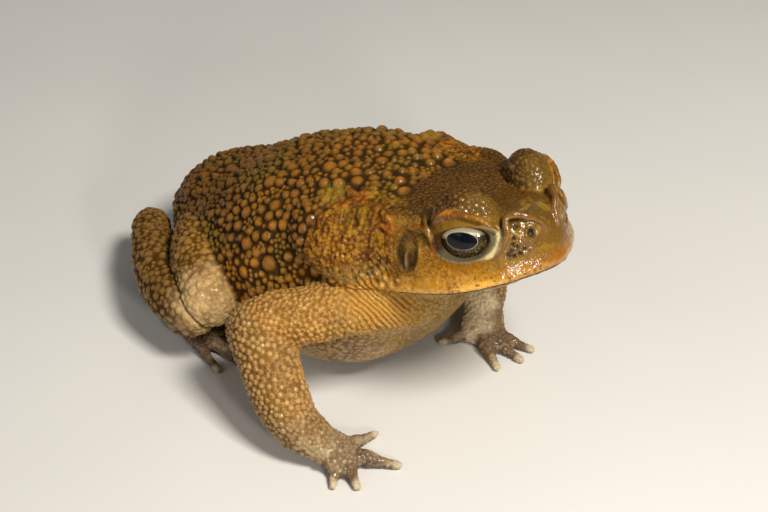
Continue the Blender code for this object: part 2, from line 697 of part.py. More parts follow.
def digit_rows(root, tip, radius, side):
    """A digit that arches a little off the floor and comes down at its tip."""
    s = SIDE_SIGN[side]
    rows = []
    for t in (0.0, 0.33, 0.66, 1.0):
        x = root[0] + (tip[0] - root[0]) * t
        y = root[1] + (tip[1] - root[1]) * t
        size = radius * (1 - (1 - DIGIT_TIP) * t)
        knuckle = 1.0 + 0.10 * math.cos(2 * math.pi * (t - 0.33) / 0.66)
        z = size * knuckle - SOLE_PRESS + ROOT_LIFT * (1 - t) ** 2
        rows.append((x, s * y, z, size * knuckle, size * knuckle))
    return rows


def build_digits(side, shapes, digits, prefix, palm):
    s = SIDE_SIGN[side]
    before = []
    for number, (root, tip, radius) in enumerate(digits, 1):
        start = shapes[palm][-1]
        inner = (root[0] * 0.55 + start[0] * 0.45, root[1] * 0.55 + s * start[1] * 0.45)
        rows = digit_rows(inner, tip, radius, side)
        obj = tube(f"{prefix}_{side}{number}", rows, *DIGIT_MESH, 0.0, "limb_skin", DIGIT_BENDS)
        near = ("forearm", "hand") if palm == "hand" else ("thigh", "shank", "tarsus", "foot")
        cutters = [tube("cut", shapes[k], *LIMB_MESH[k], GAP) for k in near]
        cutters += [tube("cut", other, *DIGIT_MESH, GAP, bends=DIGIT_BENDS) for other in before]
        cutters += [torso_shape("cut", GAP), floor_block()]
        boolean(obj, cutters, "DIFFERENCE")
        keep_largest(obj)
        before.append(rows)


def stand_on_origin():
    """Moves all parts so that the middle of their box, on the floor, is the origin."""
    nodes = [o for o in bpy.context.scene.objects if o.type == "MESH"]
    points = np.array([v.co for o in nodes for v in o.data.vertices])
    low, high = points.min(axis=0), points.max(axis=0)
    shift = np.array([-(low[0] + high[0]) / 2, -(low[1] + high[1]) / 2, -low[2]])
    for obj in nodes:
        for vertex in obj.data.vertices:
            vertex.co = np.array(vertex.co) + shift
        obj.data.shade_smooth()
        obj.data.set_sharp_from_angle(angle=math.radians(50))


def main():
    clear_scene()
    torso = build_torso()
    head = build_head()
    jaw = head_half("lower_jaw", False, slot="jaw_skin")
    build_eyes_and_ears()
    build_glands()
    for side in SIDE_SIGN:
        shapes = build_limb(side)
        build_digits(side, shapes, FINGERS[side], "finger", "hand")
        build_digits(side, shapes, TOES[side], "toe", "foot")
    for obj in (torso, head, jaw):
        keep_largest(obj)
    stand_on_origin()


main()
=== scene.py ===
import json
import math
import random

import bpy
import numpy as np
from mathutils import Matrix, Vector
from mathutils.bvhtree import BVHTree
from mathutils.kdtree import KDTree

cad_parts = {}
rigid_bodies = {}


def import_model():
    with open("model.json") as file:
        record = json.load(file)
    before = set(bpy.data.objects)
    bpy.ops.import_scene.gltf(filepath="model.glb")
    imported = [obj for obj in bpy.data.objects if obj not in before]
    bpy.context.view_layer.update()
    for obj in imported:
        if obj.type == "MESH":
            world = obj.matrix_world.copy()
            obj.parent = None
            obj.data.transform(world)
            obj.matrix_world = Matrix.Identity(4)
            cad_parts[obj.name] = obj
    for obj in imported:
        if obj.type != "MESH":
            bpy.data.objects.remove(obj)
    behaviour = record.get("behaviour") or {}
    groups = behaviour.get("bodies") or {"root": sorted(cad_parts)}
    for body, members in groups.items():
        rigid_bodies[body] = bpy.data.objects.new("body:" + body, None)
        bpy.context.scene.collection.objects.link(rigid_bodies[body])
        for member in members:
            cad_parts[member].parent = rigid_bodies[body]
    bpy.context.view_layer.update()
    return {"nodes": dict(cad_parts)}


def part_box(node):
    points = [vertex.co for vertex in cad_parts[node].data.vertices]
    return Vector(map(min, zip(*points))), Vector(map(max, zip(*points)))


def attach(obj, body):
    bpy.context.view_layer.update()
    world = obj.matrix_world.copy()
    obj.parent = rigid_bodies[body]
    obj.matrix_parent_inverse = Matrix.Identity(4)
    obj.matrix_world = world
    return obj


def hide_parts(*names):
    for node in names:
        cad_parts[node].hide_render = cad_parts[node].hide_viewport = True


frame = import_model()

# Everything is shaped in millimetres in the toad's own frame: it faces +x, its left is +y, and the
# floor is at z = 0. placed() turns that into the metres of the frame.
mm = 0.001
sideSign = {"r": -1.0, "l": 1.0}


# small helpers

def unit(vector):
    return np.asarray(vector, float) / np.linalg.norm(vector)


# angles once round a circle
def onceRound(count):
    return np.arange(count) * 2 * math.pi / count


# 0 at low, 1 at high, with a soft start and end; low may be the larger one
def smooth(low, high, value):
    t = np.clip((value - low) / (high - low), 0, 1)
    return t * t * (3 - 2 * t)


# 1 at zero, falling away to both sides over the given width
def peak(value, width, power=2):
    return np.exp(-((value / width) ** power))


# an sRGB colour of 0 to 255 as the light values that the renderer uses
def linear(colour):
    c = np.asarray(colour, float) / 255
    return np.where(c <= 0.04045, c / 12.92, ((c + 0.055) / 1.055) ** 2.4)


# smooth random values between -1 and 1, with lumps of the given size
def noise(points, size, seed=0):
    p = points / size + seed * 17.31
    cell = np.floor(p).astype(np.int64)
    f = p - cell
    f = f * f * (3 - 2 * f)
    total = np.zeros(len(points))
    for corner in range(8):
        step = np.array([corner & 1, corner >> 1 & 1, corner >> 2 & 1])
        at = cell + step
        key = at[:, 0] * 73856093 ^ at[:, 1] * 19349663 ^ at[:, 2] * 83492791 ^ seed * 2654435761
        key = (key ^ key >> 13) * 1274126177 & 0x7FFFFFFF
        key = (key ^ key >> 15) * 668265263 & 0x7FFFFFFF
        share = np.where(step, f, 1 - f).prod(axis=1)
        total += share * ((key >> 8 & 0xFFFF) / 32767.5 - 1)
    return total


# noise with finer and weaker noise added to it
def layered(points, size, layers, seed=0):
    return sum(noise(points, size / 2**k, seed + 31 * k) * 0.5**k for k in range(layers))


# the head's frame: x forward, y left, z up from the line of the mouth

head = {"origin": (25.0, 0.0, 40.0), "pitch": 17.5, "neck": -3.0, "lipTuck": 2.6, "lipFlare": 0.8,
        "lipDepth": 2.6, "mouthSag": 2.4, "mouthSagEnd": 38.0, "jawSquareness": 1.3, "jawDepth": 0.9,
        "jawShort": 2.2}
headForward = np.array([math.cos(math.radians(head["pitch"])), 0, math.sin(math.radians(head["pitch"]))])
headUp = np.array([-headForward[2], 0, headForward[0]])
headTurn = np.column_stack([headForward, [0, 1, 0], headUp])


def headPoint(p):
    return np.array(head["origin"]) + np.asarray(p, float) @ headTurn.T


def inHead(points):
    return (points - head["origin"]) @ headTurn


# outlines repeated from the solids' sizes

# x, half width at the lip, height above it, depth below it, squareness
skullRows = [(-3.0, 22.0, 16.4, 11.5, 3.6), (3.0, 21.5, 16.2, 11.0, 3.6), (9.0, 20.9, 15.8, 10.4, 3.2),
             (14.0, 19.9, 15.2, 9.6, 2.8), (18.0, 18.6, 14.8, 8.6, 2.5), (22.0, 16.4, 14.4, 7.4, 2.5),
             (26.0, 13.0, 13.9, 6.0, 2.9), (28.8, 9.8, 13.5, 4.8, 3.1), (31.0, 6.5, 12.4, 3.6, 3.0),
             (32.5, 4.1, 10.6, 2.6, 2.7), (33.5, 1.9, 7.8, 1.7, 2.3), (33.9, 0.7, 5.0, 1.0, 2.0)]

# x, height of the widest line, half width, height above, depth below, lean, squareness
trunkRows = [(-65.5, 17.0, 2.5, 3.0, 3.0, -20.0, 2.0), (-63.0, 17.0, 9.0, 7.5, 8.0, -14.0, 2.0),
             (-56.0, 17.5, 16.0, 12.5, 13.0, -8.0, 2.0), (-44.0, 19.0, 24.0, 15.8, 18.4, -4.0, 2.0),
             (-30.0, 20.5, 29.5, 22.8, 20.9, 0.0, 2.0), (-15.0, 22.5, 32.0, 27.5, 22.9, 3.0, 2.1),
             (-1.0, 26.5, 30.5, 27.3, 26.5, 7.0, 2.2), (12.0, 32.5, 25.5, 22.8, 25.0, 12.0, 2.6)]
bellySquareness = 2.7

# x, y outward, height, half width, half height along each part
limbRows = {
    "r": {
        "upper_arm": [(22.0, 12.0, 30.5, 8.6, 8.0), (14.5, 27.0, 30.2, 6.8, 6.4),
                      (3.0, 38.6, 27.0, 6.8, 6.8)],
        "forearm": [(0.6, 41.2, 25.0, 7.2, 7.4), (7.0, 43.6, 19.2, 7.0, 6.8), (12.6, 45.6, 13.2, 6.6, 6.4),
                    (17.6, 46.2, 8.8, 6.0, 5.6), (22.0, 44.8, 6.2, 5.2, 4.8)],
        "hand": [(23.0, 44.0, 5.0, 4.9, 4.2), (28.5, 42.0, 2.8, 5.8, 2.9)],
        "thigh": [(-46.5, 13.0, 17.5, 8.0, 8.0), (-35.0, 26.5, 21.0, 7.4, 8.0),
                  (-22.5, 35.8, 19.0, 6.8, 7.2)],
        "shank": [(-25.0, 38.4, 15.4, 6.0, 6.2), (-38.0, 36.2, 14.6, 6.0, 6.2), (-51.6, 27.6, 14.6, 5.8, 5.8),
                  (-63.4, 18.4, 12.4, 4.9, 4.9)],
        "tarsus": [(-63.5, 17.0, 5.8, 4.3, 4.6), (-54.0, 22.5, 4.2, 4.0, 3.9), (-44.0, 28.0, 3.4, 4.2, 3.3)],
        "foot": [(-44.5, 28.0, 3.0, 4.6, 3.0), (-35.5, 31.5, 2.4, 5.8, 2.4)],
    },
    "l": {
        "upper_arm": [(22.0, 12.0, 29.5, 9.0, 8.6), (11.5, 26.0, 28.5, 7.5, 7.2),
                      (2.5, 35.5, 25.5, 7.2, 7.0)],
        "forearm": [(1.2, 37.0, 24.0, 7.2, 7.4), (7.0, 33.0, 18.8, 7.0, 6.8), (13.0, 27.4, 13.0, 6.3, 6.0),
                    (18.2, 21.6, 8.0, 5.4, 5.0)],
        "hand": [(19.0, 20.6, 5.2, 4.9, 4.3), (22.5, 16.0, 2.8, 5.8, 2.9)],
        "thigh": [(-45.5, 13.0, 17.5, 8.0, 8.0), (-34.0, 26.0, 21.0, 7.4, 8.0),
                  (-21.5, 35.0, 19.0, 6.8, 7.2)],
        "shank": [(-24.0, 37.6, 15.4, 6.0, 6.2), (-37.0, 36.0, 14.6, 6.0, 6.2), (-50.6, 27.8, 14.6, 5.8, 5.8),
                  (-62.9, 18.6, 12.4, 4.9, 4.9)],
        "tarsus": [(-63.0, 17.2, 5.8, 4.3, 4.6), (-53.4, 22.8, 4.2, 4.0, 3.9), (-43.0, 28.4, 3.4, 4.2, 3.3)],
        "foot": [(-43.5, 28.4, 3.0, 4.6, 3.0), (-34.5, 32.0, 2.4, 5.8, 2.4)],
    },
}

# root x, y outward, tip x, y outward, radius
fingers = {
    "r": [((24.4, 38.4), (27.6, 29.6), 2.0), ((30.6, 39.6), (39.1, 34.2), 2.2),
          ((31.0, 43.0), (37.0, 46.0), 2.1), ((28.2, 45.8), (32.6, 49.6), 2.0)],
    "l": [((19.8, 13.4), (16.4, 7.2), 2.0), ((25.0, 12.6), (33.3, 8.8), 2.1),
          ((26.6, 15.2), (35.8, 15.2), 2.1), ((26.0, 18.6), (35.2, 20.2), 2.0)],
}
toes = {
    "r": [((-39.4, 27.4), (-37.0, 20.4), 1.8), ((-35.6, 28.0), (-30.0, 21.8), 1.9),
          ((-32.6, 29.6), (-23.0, 26.4), 2.0), ((-31.0, 32.2), (-14.0, 33.0), 2.1),
          ((-32.4, 35.4), (-17.4, 38.6), 2.0)],
    "l": [((-38.4, 27.8), (-36.0, 20.8), 1.8), ((-34.6, 28.4), (-29.0, 22.2), 1.9),
          ((-31.6, 30.0), (-22.0, 26.8), 2.0), ((-30.0, 32.6), (-13.0, 33.4), 2.1),
          ((-31.4, 35.8), (-16.4, 39.0), 2.0)],
}


# more rows on a smooth curve through the given ones
def splineRows(rows, count):
    rows = np.array(rows, float)
    steps = np.linspace(0, len(rows) - 1, count)
    first = np.clip(steps.astype(int), 0, len(rows) - 2)
    f = (steps - first)[:, None]
    padded = np.vstack([2 * rows[0] - rows[1], rows, 2 * rows[-1] - rows[-2]])
    a, b, c, d = (padded[first + k] for k in range(4))
    cubic = (3 * b - a - 3 * c + d) * f**3
    return 0.5 * (2 * b + (c - a) * f + (2 * a - 5 * b + 4 * c - d) * f**2 + cubic)


def roundedPower(values, power):
    return np.sign(values) * np.abs(values) ** (2.0 / power)


# a closed ring with its own height above and below its widest line
def section(centre, across, up, wide, above, below, sides, power=2.0, powerBelow=None):
    turn = onceRound(sides)
    upper = np.sin(turn) > 0
    powers = np.where(upper, power, powerBelow or power)
    sideways = wide * roundedPower(np.cos(turn), powers)
    height = np.where(upper, above, below) * roundedPower(np.sin(turn), powers)
    return centre + np.outer(sideways, across) + np.outer(height, up)


# the triangles of a closed body, turned to face outward
def facingOut(points, triangles):
    a, b, c = (points[triangles[:, i]] for i in range(3))
    return triangles if (np.cross(a, b) * c).sum() > 0 else triangles[:, ::-1]


# one closed body through the rings
def loft(rings):
    rings = np.asarray(rings, float)
    rows, sides = rings.shape[:2]
    points = np.vstack([rings.reshape(-1, 3), rings[0].mean(0), rings[-1].mean(0)])
    k = np.arange(sides)
    n = (k + 1) % sides
    start = np.arange(rows - 1)[:, None] * sides
    quads = np.stack([start + k, start + n, start + sides + n, start + sides + k], -1).reshape(-1, 4)
    last = (rows - 1) * sides
    hubs = rows * sides
    caps = np.vstack([np.stack([n, k, k * 0 + hubs], 1), np.stack([last + k, last + n, k * 0 + hubs + 1], 1)])
    triangles = np.vstack([quads[:, :3], quads[:, [0, 2, 3]], caps])
    return points, facingOut(points, triangles)


# a tube with rounded ends through rows of x, y, height, half width, half height
def tube(rows, sides, rings, bends=(75, 60, 45, 30, 15), grow=0.0):
    rows = splineRows(rows, rings)
    rows[:, 3:5] += grow
    heading = np.gradient(rows[:, :3], axis=0)
    made = []
    for i, (row, way) in enumerate(zip(rows, heading)):
        way = unit(way)
        across = unit(np.cross(way, (0, 0, 1)))
        up = np.cross(across, way)
        caps = [(0.0, 1.0)]
        reach = 0.5 * (row[3] + row[4])
        if i in (0, len(rows) - 1):
            end = -1 if i == 0 else 1
            caps += [(end * reach * math.sin(math.radians(a)), math.cos(math.radians(a))) for a in bends]
            caps.sort()
        for along, share in caps:
            made.append(section(row[:3] + way * along, across, up, row[3] * share, row[4] * share,
                                row[4] * share, sides))
    return loft(made)


# a ball with three half sizes, which taper makes taller toward one end
def ball(centre, sizes, turn=None, sides=40, rings=28, taper=0.0):
    turn = np.eye(3) if turn is None else turn
    made = []
    for k in range(1, rings):
        a = math.pi * k / rings
        circle = section(np.zeros(3), np.array([1.0, 0, 0]), np.array([0, 0, 1.0]), math.sin(a), math.sin(a),
                         math.sin(a), sides)
        circle[:, 1] = math.cos(a)
        circle[:, 2] *= 1 + taper * circle[:, 0]
        made.append((circle * sizes) @ np.asarray(turn).T + centre)
    return loft(made)


# height of the line of the mouth, which sags toward its corner
def mouthHeight(x):
    return -head["mouthSag"] * np.clip(1 - x / head["mouthSagEnd"], 0, None) ** 0.85


# the skull above the line of the mouth, or the lower jaw below it, meeting inside the lips
def headHalf(upper):
    made = []
    arc = np.linspace(0, math.pi, 81)
    base = -0.5
    for x, wide, above, below, power in splineRows(skullRows, 90):
        level = mouthHeight(x)
        if upper:
            height = base + (above - level - base) * roundedPower(np.sin(arc), power)
            across = wide * roundedPower(np.cos(arc), power)
            flare = head["lipFlare"] * peak(height, head["lipDepth"]) * min(1.0, wide / 5)
            across += flare * np.sign(across)
        else:
            wide = max(wide - head["lipTuck"], 0.4 * wide)
            square = head["jawSquareness"]
            front = smooth(16.0, 33.0, x)
            depth = max(below * (head["jawDepth"] - 0.35 * front) + level - base, 0.8)
            height = -base - depth * roundedPower(np.sin(arc), square)
            x -= head["jawShort"] * front
            across = wide * roundedPower(np.cos(arc), square)
        floorLine = np.linspace(across[-1], across[0], 24)[1:-1]
        y = np.concatenate([across, floorLine])
        z = np.concatenate([height, np.full(len(floorLine), height[0])]) + level
        made.append(headPoint(np.column_stack([np.full(len(y), x), y, z])))
    return loft(made)


# one ring of the trunk, leaning back by its degrees
def trunkRing(row, sides):
    x, z, wide, above, below, lean, power = row
    up = np.array([-math.sin(math.radians(lean)), 0, math.cos(math.radians(lean))])
    return section(np.array([x, 0, z]), np.array([0, 1.0, 0]), up, wide, above, below, sides, power,
                   bellySquareness)


def trunk():
    _, wide, above, below, power = skullRows[0]
    inside = headPoint((head["neck"] + 1.2, 0, 0))  # the trunk runs a little into the head
    last = (inside[0], inside[2], wide - 0.25, above - 0.25, below - 0.25, head["pitch"], power)
    return loft([trunkRing(row, 140) for row in splineRows(trunkRows + [last], 110)])


gland = {"centre": (9.8, 19.6, 45.2), "sizes": (14.6, 5.4, 11.4), "taper": 0.22, "yaw": -20, "tip": 5,
         "roll": -45}


# the gland's own directions on side s: along it, outward, and across
def glandTurn(s):
    yaw, tip, roll = (math.radians(gland[k]) for k in ("yaw", "tip", "roll"))
    along = unit((math.cos(yaw), s * math.sin(yaw), math.sin(tip)))
    out = unit((0.0, s * math.cos(roll), -math.sin(roll)))
    out = unit(out - along * np.dot(out, along))
    return np.column_stack([along, out, np.cross(along, out)])


# a finger or toe from its root to its tip, thicker at the knuckle and lifted at the root
def digitRows(root, tip, radius, s):
    rows = []
    for t in (0.0, 0.33, 0.66, 1.0):
        size = radius * (1 - 0.5 * t**1.4)
        knuckle = 1.0 + 0.10 * math.cos(2 * math.pi * (t - 0.33) / 0.66)
        z = size * knuckle - 0.15 + 0.7 * (1 - t) ** 2
        rows.append((root[0] + (tip[0] - root[0]) * t, s * (root[1] + (tip[1] - root[1]) * t), z,
                     size * knuckle, size * knuckle))
    return rows


# a soft ridge from the gland forward to the lid: x, y, height in the head's frame, radius
glandRidge = [(-10.0, 18.0, 13.4, 2.4), (-5.0, 17.4, 14.3, 2.8), (0.0, 16.6, 14.4, 2.9),
              (5.0, 15.4, 14.0, 2.6), (9.5, 13.6, 13.4, 2.0)]


# the flesh of the whole toad as overlapping closed bodies
def fleshBodies():
    bodies = [trunk(), headHalf(True), headHalf(False)]
    for side, s in sideSign.items():
        centre = np.array(gland["centre"]) * [1, s, 1]
        bodies.append(ball(centre, gland["sizes"], glandTurn(s), taper=gland["taper"]))
        bodies.append(tube([(*headPoint((x, s * y, z)), r, r) for x, y, z, r in glandRidge], 24, 30))
        for rows in limbRows[side].values():
            bodies.append(tube([(r[0], s * r[1], *r[2:]) for r in rows], 44, 36))
        for digits, palm in ((fingers, "hand"), (toes, "foot")):
            start = limbRows[side][palm][-1]
            for root, tip, radius in digits[side]:
                inner = (root[0] * 0.55 + start[0] * 0.45, root[1] * 0.55 + start[1] * 0.45)
                bodies.append(tube(digitRows(inner, tip, radius, s), 20, 24))
    return bodies


# meshes in and out of Blender

def addToScene(name, data):
    obj = bpy.data.objects.new(name, data)
    bpy.context.scene.collection.objects.link(obj)
    return obj


def makeObject(name, bodies):
    points, faces, base = [], [], 0
    for p, f in bodies:
        points.append(p)
        faces.append(np.asarray(f) + base)
        base += len(p)
    mesh = bpy.data.meshes.new(name)
    mesh.from_pydata(np.vstack(points).tolist(), [], np.vstack(faces).tolist())
    return addToScene(name, mesh)


def drop(obj):
    mesh = obj.data
    bpy.data.objects.remove(obj, do_unlink=True)
    bpy.data.meshes.remove(mesh)


# applies the object's modifiers and returns its points, its four-sided faces and its edges
def evaluated(obj):
    graph = bpy.context.evaluated_depsgraph_get()
    graph.update()
    made = bpy.data.meshes.new_from_object(obj.evaluated_get(graph))
    points = np.empty(len(made.vertices) * 3)
    made.vertices.foreach_get("co", points)
    faces = np.empty(len(made.loops), dtype=np.int32)
    made.loops.foreach_get("vertex_index", faces)
    edges = np.empty(len(made.edges) * 2, dtype=np.int32)
    made.edges.foreach_get("vertices", edges)
    bpy.data.meshes.remove(made)
    return points.reshape(-1, 3), faces.reshape(-1, 4), edges.reshape(-1, 2)


# the object as one surface of small squares of the given size
def remeshed(obj, size):
    modifier = obj.modifiers.new("Remesh", "REMESH")
    modifier.mode = "VOXEL"
    modifier.voxel_size = size
    return evaluated(obj)


# keeps the outer surface and leaves out any closed pocket inside it
def outerSurface(points, faces, edges):
    label = np.arange(len(points))
    while True:
        before = label.copy()
        low = np.minimum(label[edges[:, 0]], label[edges[:, 1]])
        np.minimum.at(label, edges[:, 0], low)
        np.minimum.at(label, edges[:, 1], low)
        label = label[label]
        if (label == before).all():
            break
    names, counts = np.unique(label, return_counts=True)
    keep = label == names[counts.argmax()]
    renumber = np.cumsum(keep) - 1
    return points[keep], renumber[faces[keep[faces[:, 0]]]], renumber[edges[keep[edges[:, 0]]]]


# moves each point toward the middle of its neighbours, by its own weight
def relax(points, edges, weight, rounds):
    a, b = edges[:, 0], edges[:, 1]
    size = len(points)
    count = np.bincount(a, minlength=size) + np.bincount(b, minlength=size)
    for _ in range(rounds):
        for k in range(3):
            total = np.bincount(a, points[b, k], size) + np.bincount(b, points[a, k], size)
            points[:, k] += weight * (total / count - points[:, k])
    return points


# evens a value out between neighbouring points
def spread(values, edges, rounds):
    a, b = edges[:, 0], edges[:, 1]
    size = len(values)
    count = np.bincount(a, minlength=size) + np.bincount(b, minlength=size)
    for _ in range(rounds):
        total = np.bincount(a, values[b], size) + np.bincount(b, values[a], size)
        values = 0.5 * values + 0.5 * total / count
    return values


def normalsOf(points, faces):
    a, b, c, d = (points[faces[:, k]] for k in range(4))
    flat = np.cross(c - a, d - b)
    total = np.zeros_like(points)
    for k in range(3):
        for corner in range(4):
            total[:, k] += np.bincount(faces[:, corner], flat[:, k], len(points))
    return total / np.maximum(np.linalg.norm(total, axis=1), 1e-9)[:, None]


# where the frame puts the toad, found from its eyes

# place and look in the head's frame, half sizes of the eyeball and of the opening between the lids
eye = {"centre": (17.1, 10.2, 9.5), "look": (0.47, 0.87, 0.15), "sizes": (7.0, 5.8, 7.0),
       "openingWide": 6.9, "openingAbove": 3.3, "openingBelow": 4.45}
eyeBoxes = [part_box(f"eye_{side}") for side in sideSign]
eyesMiddle = np.mean([(np.array(low) + np.array(high)) / 2 for low, high in eyeBoxes], axis=0) / mm
shift = eyesMiddle - headPoint((eye["centre"][0], 0, eye["centre"][2]))
shift[2] = 0.0


def placed(points):
    return (np.asarray(points) + shift) * mm


groups = ["torso", "head", "lower_jaw", "parotoid_gland", "tympanum", "upper_arm", "forearm", "hand",
          "finger", "thigh", "shank", "tarsus", "foot", "toe"]


def groupOf(name):
    plain = name.rstrip("0123456789")
    plain = plain[:-2] if plain[-2:] in ("_l", "_r") else plain
    return groups.index(plain) if plain in groups else None


# which named part of the frame is nearest to each point
def nearestGroups(points):
    corners, triangles, owner = [], [], []
    for name, obj in frame["nodes"].items():
        group = groupOf(name)
        if group is None:
            continue
        base = len(corners)
        corners += [Vector(np.array(v.co) / mm - shift) for v in obj.data.vertices]
        for face in obj.data.polygons:
            triangles.append([base + k for k in face.vertices])
            owner.append(group)
    tree = BVHTree.FromPolygons(corners, triangles)
    return np.array([owner[tree.find_nearest(p)[2]] for p in points.tolist()])


# how much of each group there is at each point, from 0 to 1
def masksOf(labels, edges, rounds):
    return {name: spread((labels == k).astype(float), edges, rounds) for k, name in enumerate(groups)}


# stage 1: the flesh as one blended surface

# size of the squares, rounds of smoothing, and its strength everywhere, at most and at the neck
blending = {"voxel": 0.6, "rounds": 34, "allOver": 0.06, "spread": 12, "most": 0.95, "neck": 0.9,
            "neckReach": 3.5, "neckRounds": 60}
# how much the flesh flows together where two parts meet
blends = [("torso", "upper_arm", 1.0), ("head", "upper_arm", 0.9), ("lower_jaw", "upper_arm", 0.9),
          ("parotoid_gland", "upper_arm", 0.6), ("upper_arm", "forearm", 1.0), ("forearm", "hand", 0.8),
          ("hand", "finger", 0.7), ("torso", "head", 1.0), ("torso", "lower_jaw", 1.0),
          ("torso", "parotoid_gland", 0.6), ("head", "parotoid_gland", 1.0),
          ("tympanum", "parotoid_gland", 0.8), ("head", "tympanum", 1.0), ("torso", "thigh", 0.4),
          ("thigh", "shank", 0.05), ("torso", "shank", 0.1), ("shank", "tarsus", 0.5),
          ("tarsus", "foot", 1.0), ("foot", "toe", 0.7)]

rough = makeObject("flesh", fleshBodies())
points, faces, edges = outerSurface(*remeshed(rough, blending["voxel"]))
drop(rough)
masks = masksOf(nearestGroups(points), edges, blending["spread"])
flow = np.full(len(points), blending["allOver"])
for one, other, strength in blends:
    flow += strength * np.clip(4.5 * masks[one] * masks[other], 0, 1)
neckSeam = peak(inHead(points)[:, 0] - head["neck"], blending["neckReach"])
flow += blending["neck"] * neckSeam * (masks["head"] + masks["parotoid_gland"] + masks["torso"])
points = relax(points, edges, np.clip(flow, 0, blending["most"]), blending["rounds"])
glandSeam = neckSeam * np.clip(2 * masks["parotoid_gland"], 0, 1)
points = relax(points, edges, blending["neck"] * glandSeam, blending["neckRounds"])
print("flesh blended:", len(points), "points")

# stage 2: lids, ridges of bone and the openings for the eyes

# the swelling over each eye with its turn in degrees, and the rims round the opening: their
# thickness, and how far outside the opening they run
lids = {"centre": (18.2, 11.2, 12.0), "sizes": (8.4, 5.7, 8.6), "yaw": 33, "rimAbove": 0.36,
        "rimBelow": 0.42, "rimSpareAbove": 0.15, "rimSpareBelow": 0.25, "rimSpareSide": 0.05}
# ridges of bone: x, y, height in the head's frame, radius
crests = {
    "canthal": [(33.0, 1.9, 9.2, 0.5), (32.4, 2.4, 10.6, 0.65), (31.4, 3.4, 12.0, 0.75),
                (30.7, 4.9, 13.2, 0.85), (29.2, 6.3, 14.1, 0.9), (27.5, 7.9, 14.0, 0.9),
                (27.9, 9.2, 12.7, 0.85), (28.4, 9.7, 11.2, 0.85), (28.0, 10.4, 9.6, 0.8),
                (27.3, 11.2, 8.0, 0.7), (26.3, 12.3, 6.4, 0.5)],
    "brow": [(26.6, 10.8, 12.0, 0.55), (25.9, 12.3, 13.8, 0.7), (24.3, 13.7, 15.6, 0.75),
             (22.0, 15.0, 16.8, 0.75), (19.0, 15.9, 17.2, 0.75), (16.0, 16.5, 16.6, 0.7),
             (13.8, 16.7, 14.8, 0.6)],
    "ear": [(12.9, 18.2, 9.2, 0.5), (12.2, 17.9, 12.0, 0.65), (9.0, 17.4, 13.3, 0.7),
            (4.0, 17.6, 12.8, 0.65), (0.4, 17.8, 12.3, 0.5)],
    "earUpper": [(12.2, 17.8, 12.2, 0.55), (10.6, 16.6, 14.2, 0.65), (9.2, 14.8, 15.2, 0.6),
                 (8.4, 12.8, 15.4, 0.4)],
}
skinVoxel = 0.26  # size of the skin's squares


# the eye's own directions on side s: along the lids, outward, and up
def eyeTurn(s):
    look = unit(headTurn @ (np.array(eye["look"]) * [1, s, 1]))
    up = unit(headUp - look * np.dot(headUp, look))
    return np.column_stack([np.cross(look, up), look, up])


def eyeCentre(s):
    return headPoint(np.array(eye["centre"]) * [1, s, 1])


# what is cut away in front of the eye, wider toward the outside
def eyeWedge(s):
    turn, centre = eyeTurn(s), eyeCentre(s)
    around = onceRound(64)
    high = np.where(np.sin(around) > 0, eye["openingAbove"], eye["openingBelow"])
    rings = []
    for deep, width in ((2.0, 0.6), (12.0, 1.55)):
        u = eye["openingWide"] * width * np.cos(around)
        v = high * width * np.sin(around)
        rings.append(centre + turn[:, 1] * deep + np.outer(u, turn[:, 0]) + np.outer(v, turn[:, 2]))
    return loft(rings)


# a rounded rim that hugs the eyeball all round the opening
def lidRim(s):
    turn, centre = eyeTurn(s), eyeCentre(s)
    a, w, c = eye["sizes"]
    steps = 72
    around = onceRound(steps)
    upper = np.clip(np.sin(around), 0, 1)
    high = np.where(np.sin(around) > 0, eye["openingAbove"] + lids["rimSpareAbove"],
                    eye["openingBelow"] + lids["rimSpareBelow"])
    u = (eye["openingWide"] + lids["rimSpareSide"]) * np.cos(around)
    v = high * np.sin(around)
    out = w * np.sqrt(np.clip(1 - (u / a) ** 2 - (v / c) ** 2, 0.02, 1)) + 0.05
    path = centre + np.outer(u, turn[:, 0]) + np.outer(out, turn[:, 1]) + np.outer(v, turn[:, 2])
    radius = lids["rimBelow"] + (lids["rimAbove"] - lids["rimBelow"]) * upper
    sides = 14
    points = []
    for k in range(steps):
        way = unit(path[(k + 1) % steps] - path[k - 1])
        across = unit(np.cross(way, unit(path[k] - centre)))
        points.append(section(path[k], across, np.cross(across, way), radius[k], radius[k], radius[k], sides))
    points = np.array(points).reshape(-1, 3)
    k = np.arange(sides)
    faces = []
    for r in range(steps):
        here, there = r * sides, (r + 1) % steps * sides
        faces += np.stack([here + k, here + (k + 1) % sides, there + (k + 1) % sides, there + k], 1).tolist()
    faces = np.array(faces)
    return points, facingOut(points, np.vstack([faces[:, :3], faces[:, [0, 2, 3]]]))


def crest(rows, s):
    return tube([(*headPoint((x, s * y, z)), radius, radius) for x, y, z, radius in rows], 16, 30)


# points of an eyeball whose hidden back half is drawn in under the skull
def eyeShape(rings, around, grow=0.0):
    a, w, c = np.array(eye["sizes"]) + grow
    local = []
    for k in range(1, rings):
        t = math.pi * k / rings
        turn = onceRound(around)
        out = math.cos(t)
        hidden = 1 - 0.45 * max(0.0, -out)
        width = math.sin(t) * hidden
        local.append(np.column_stack([a * width * np.cos(turn), np.full(around, w * out * hidden),
                                      c * width * np.sin(turn)]))
    return np.array(local)


def eyeCutter(s):
    return loft(eyeShape(48, 72, 0.12) @ eyeTurn(s).T + eyeCentre(s))


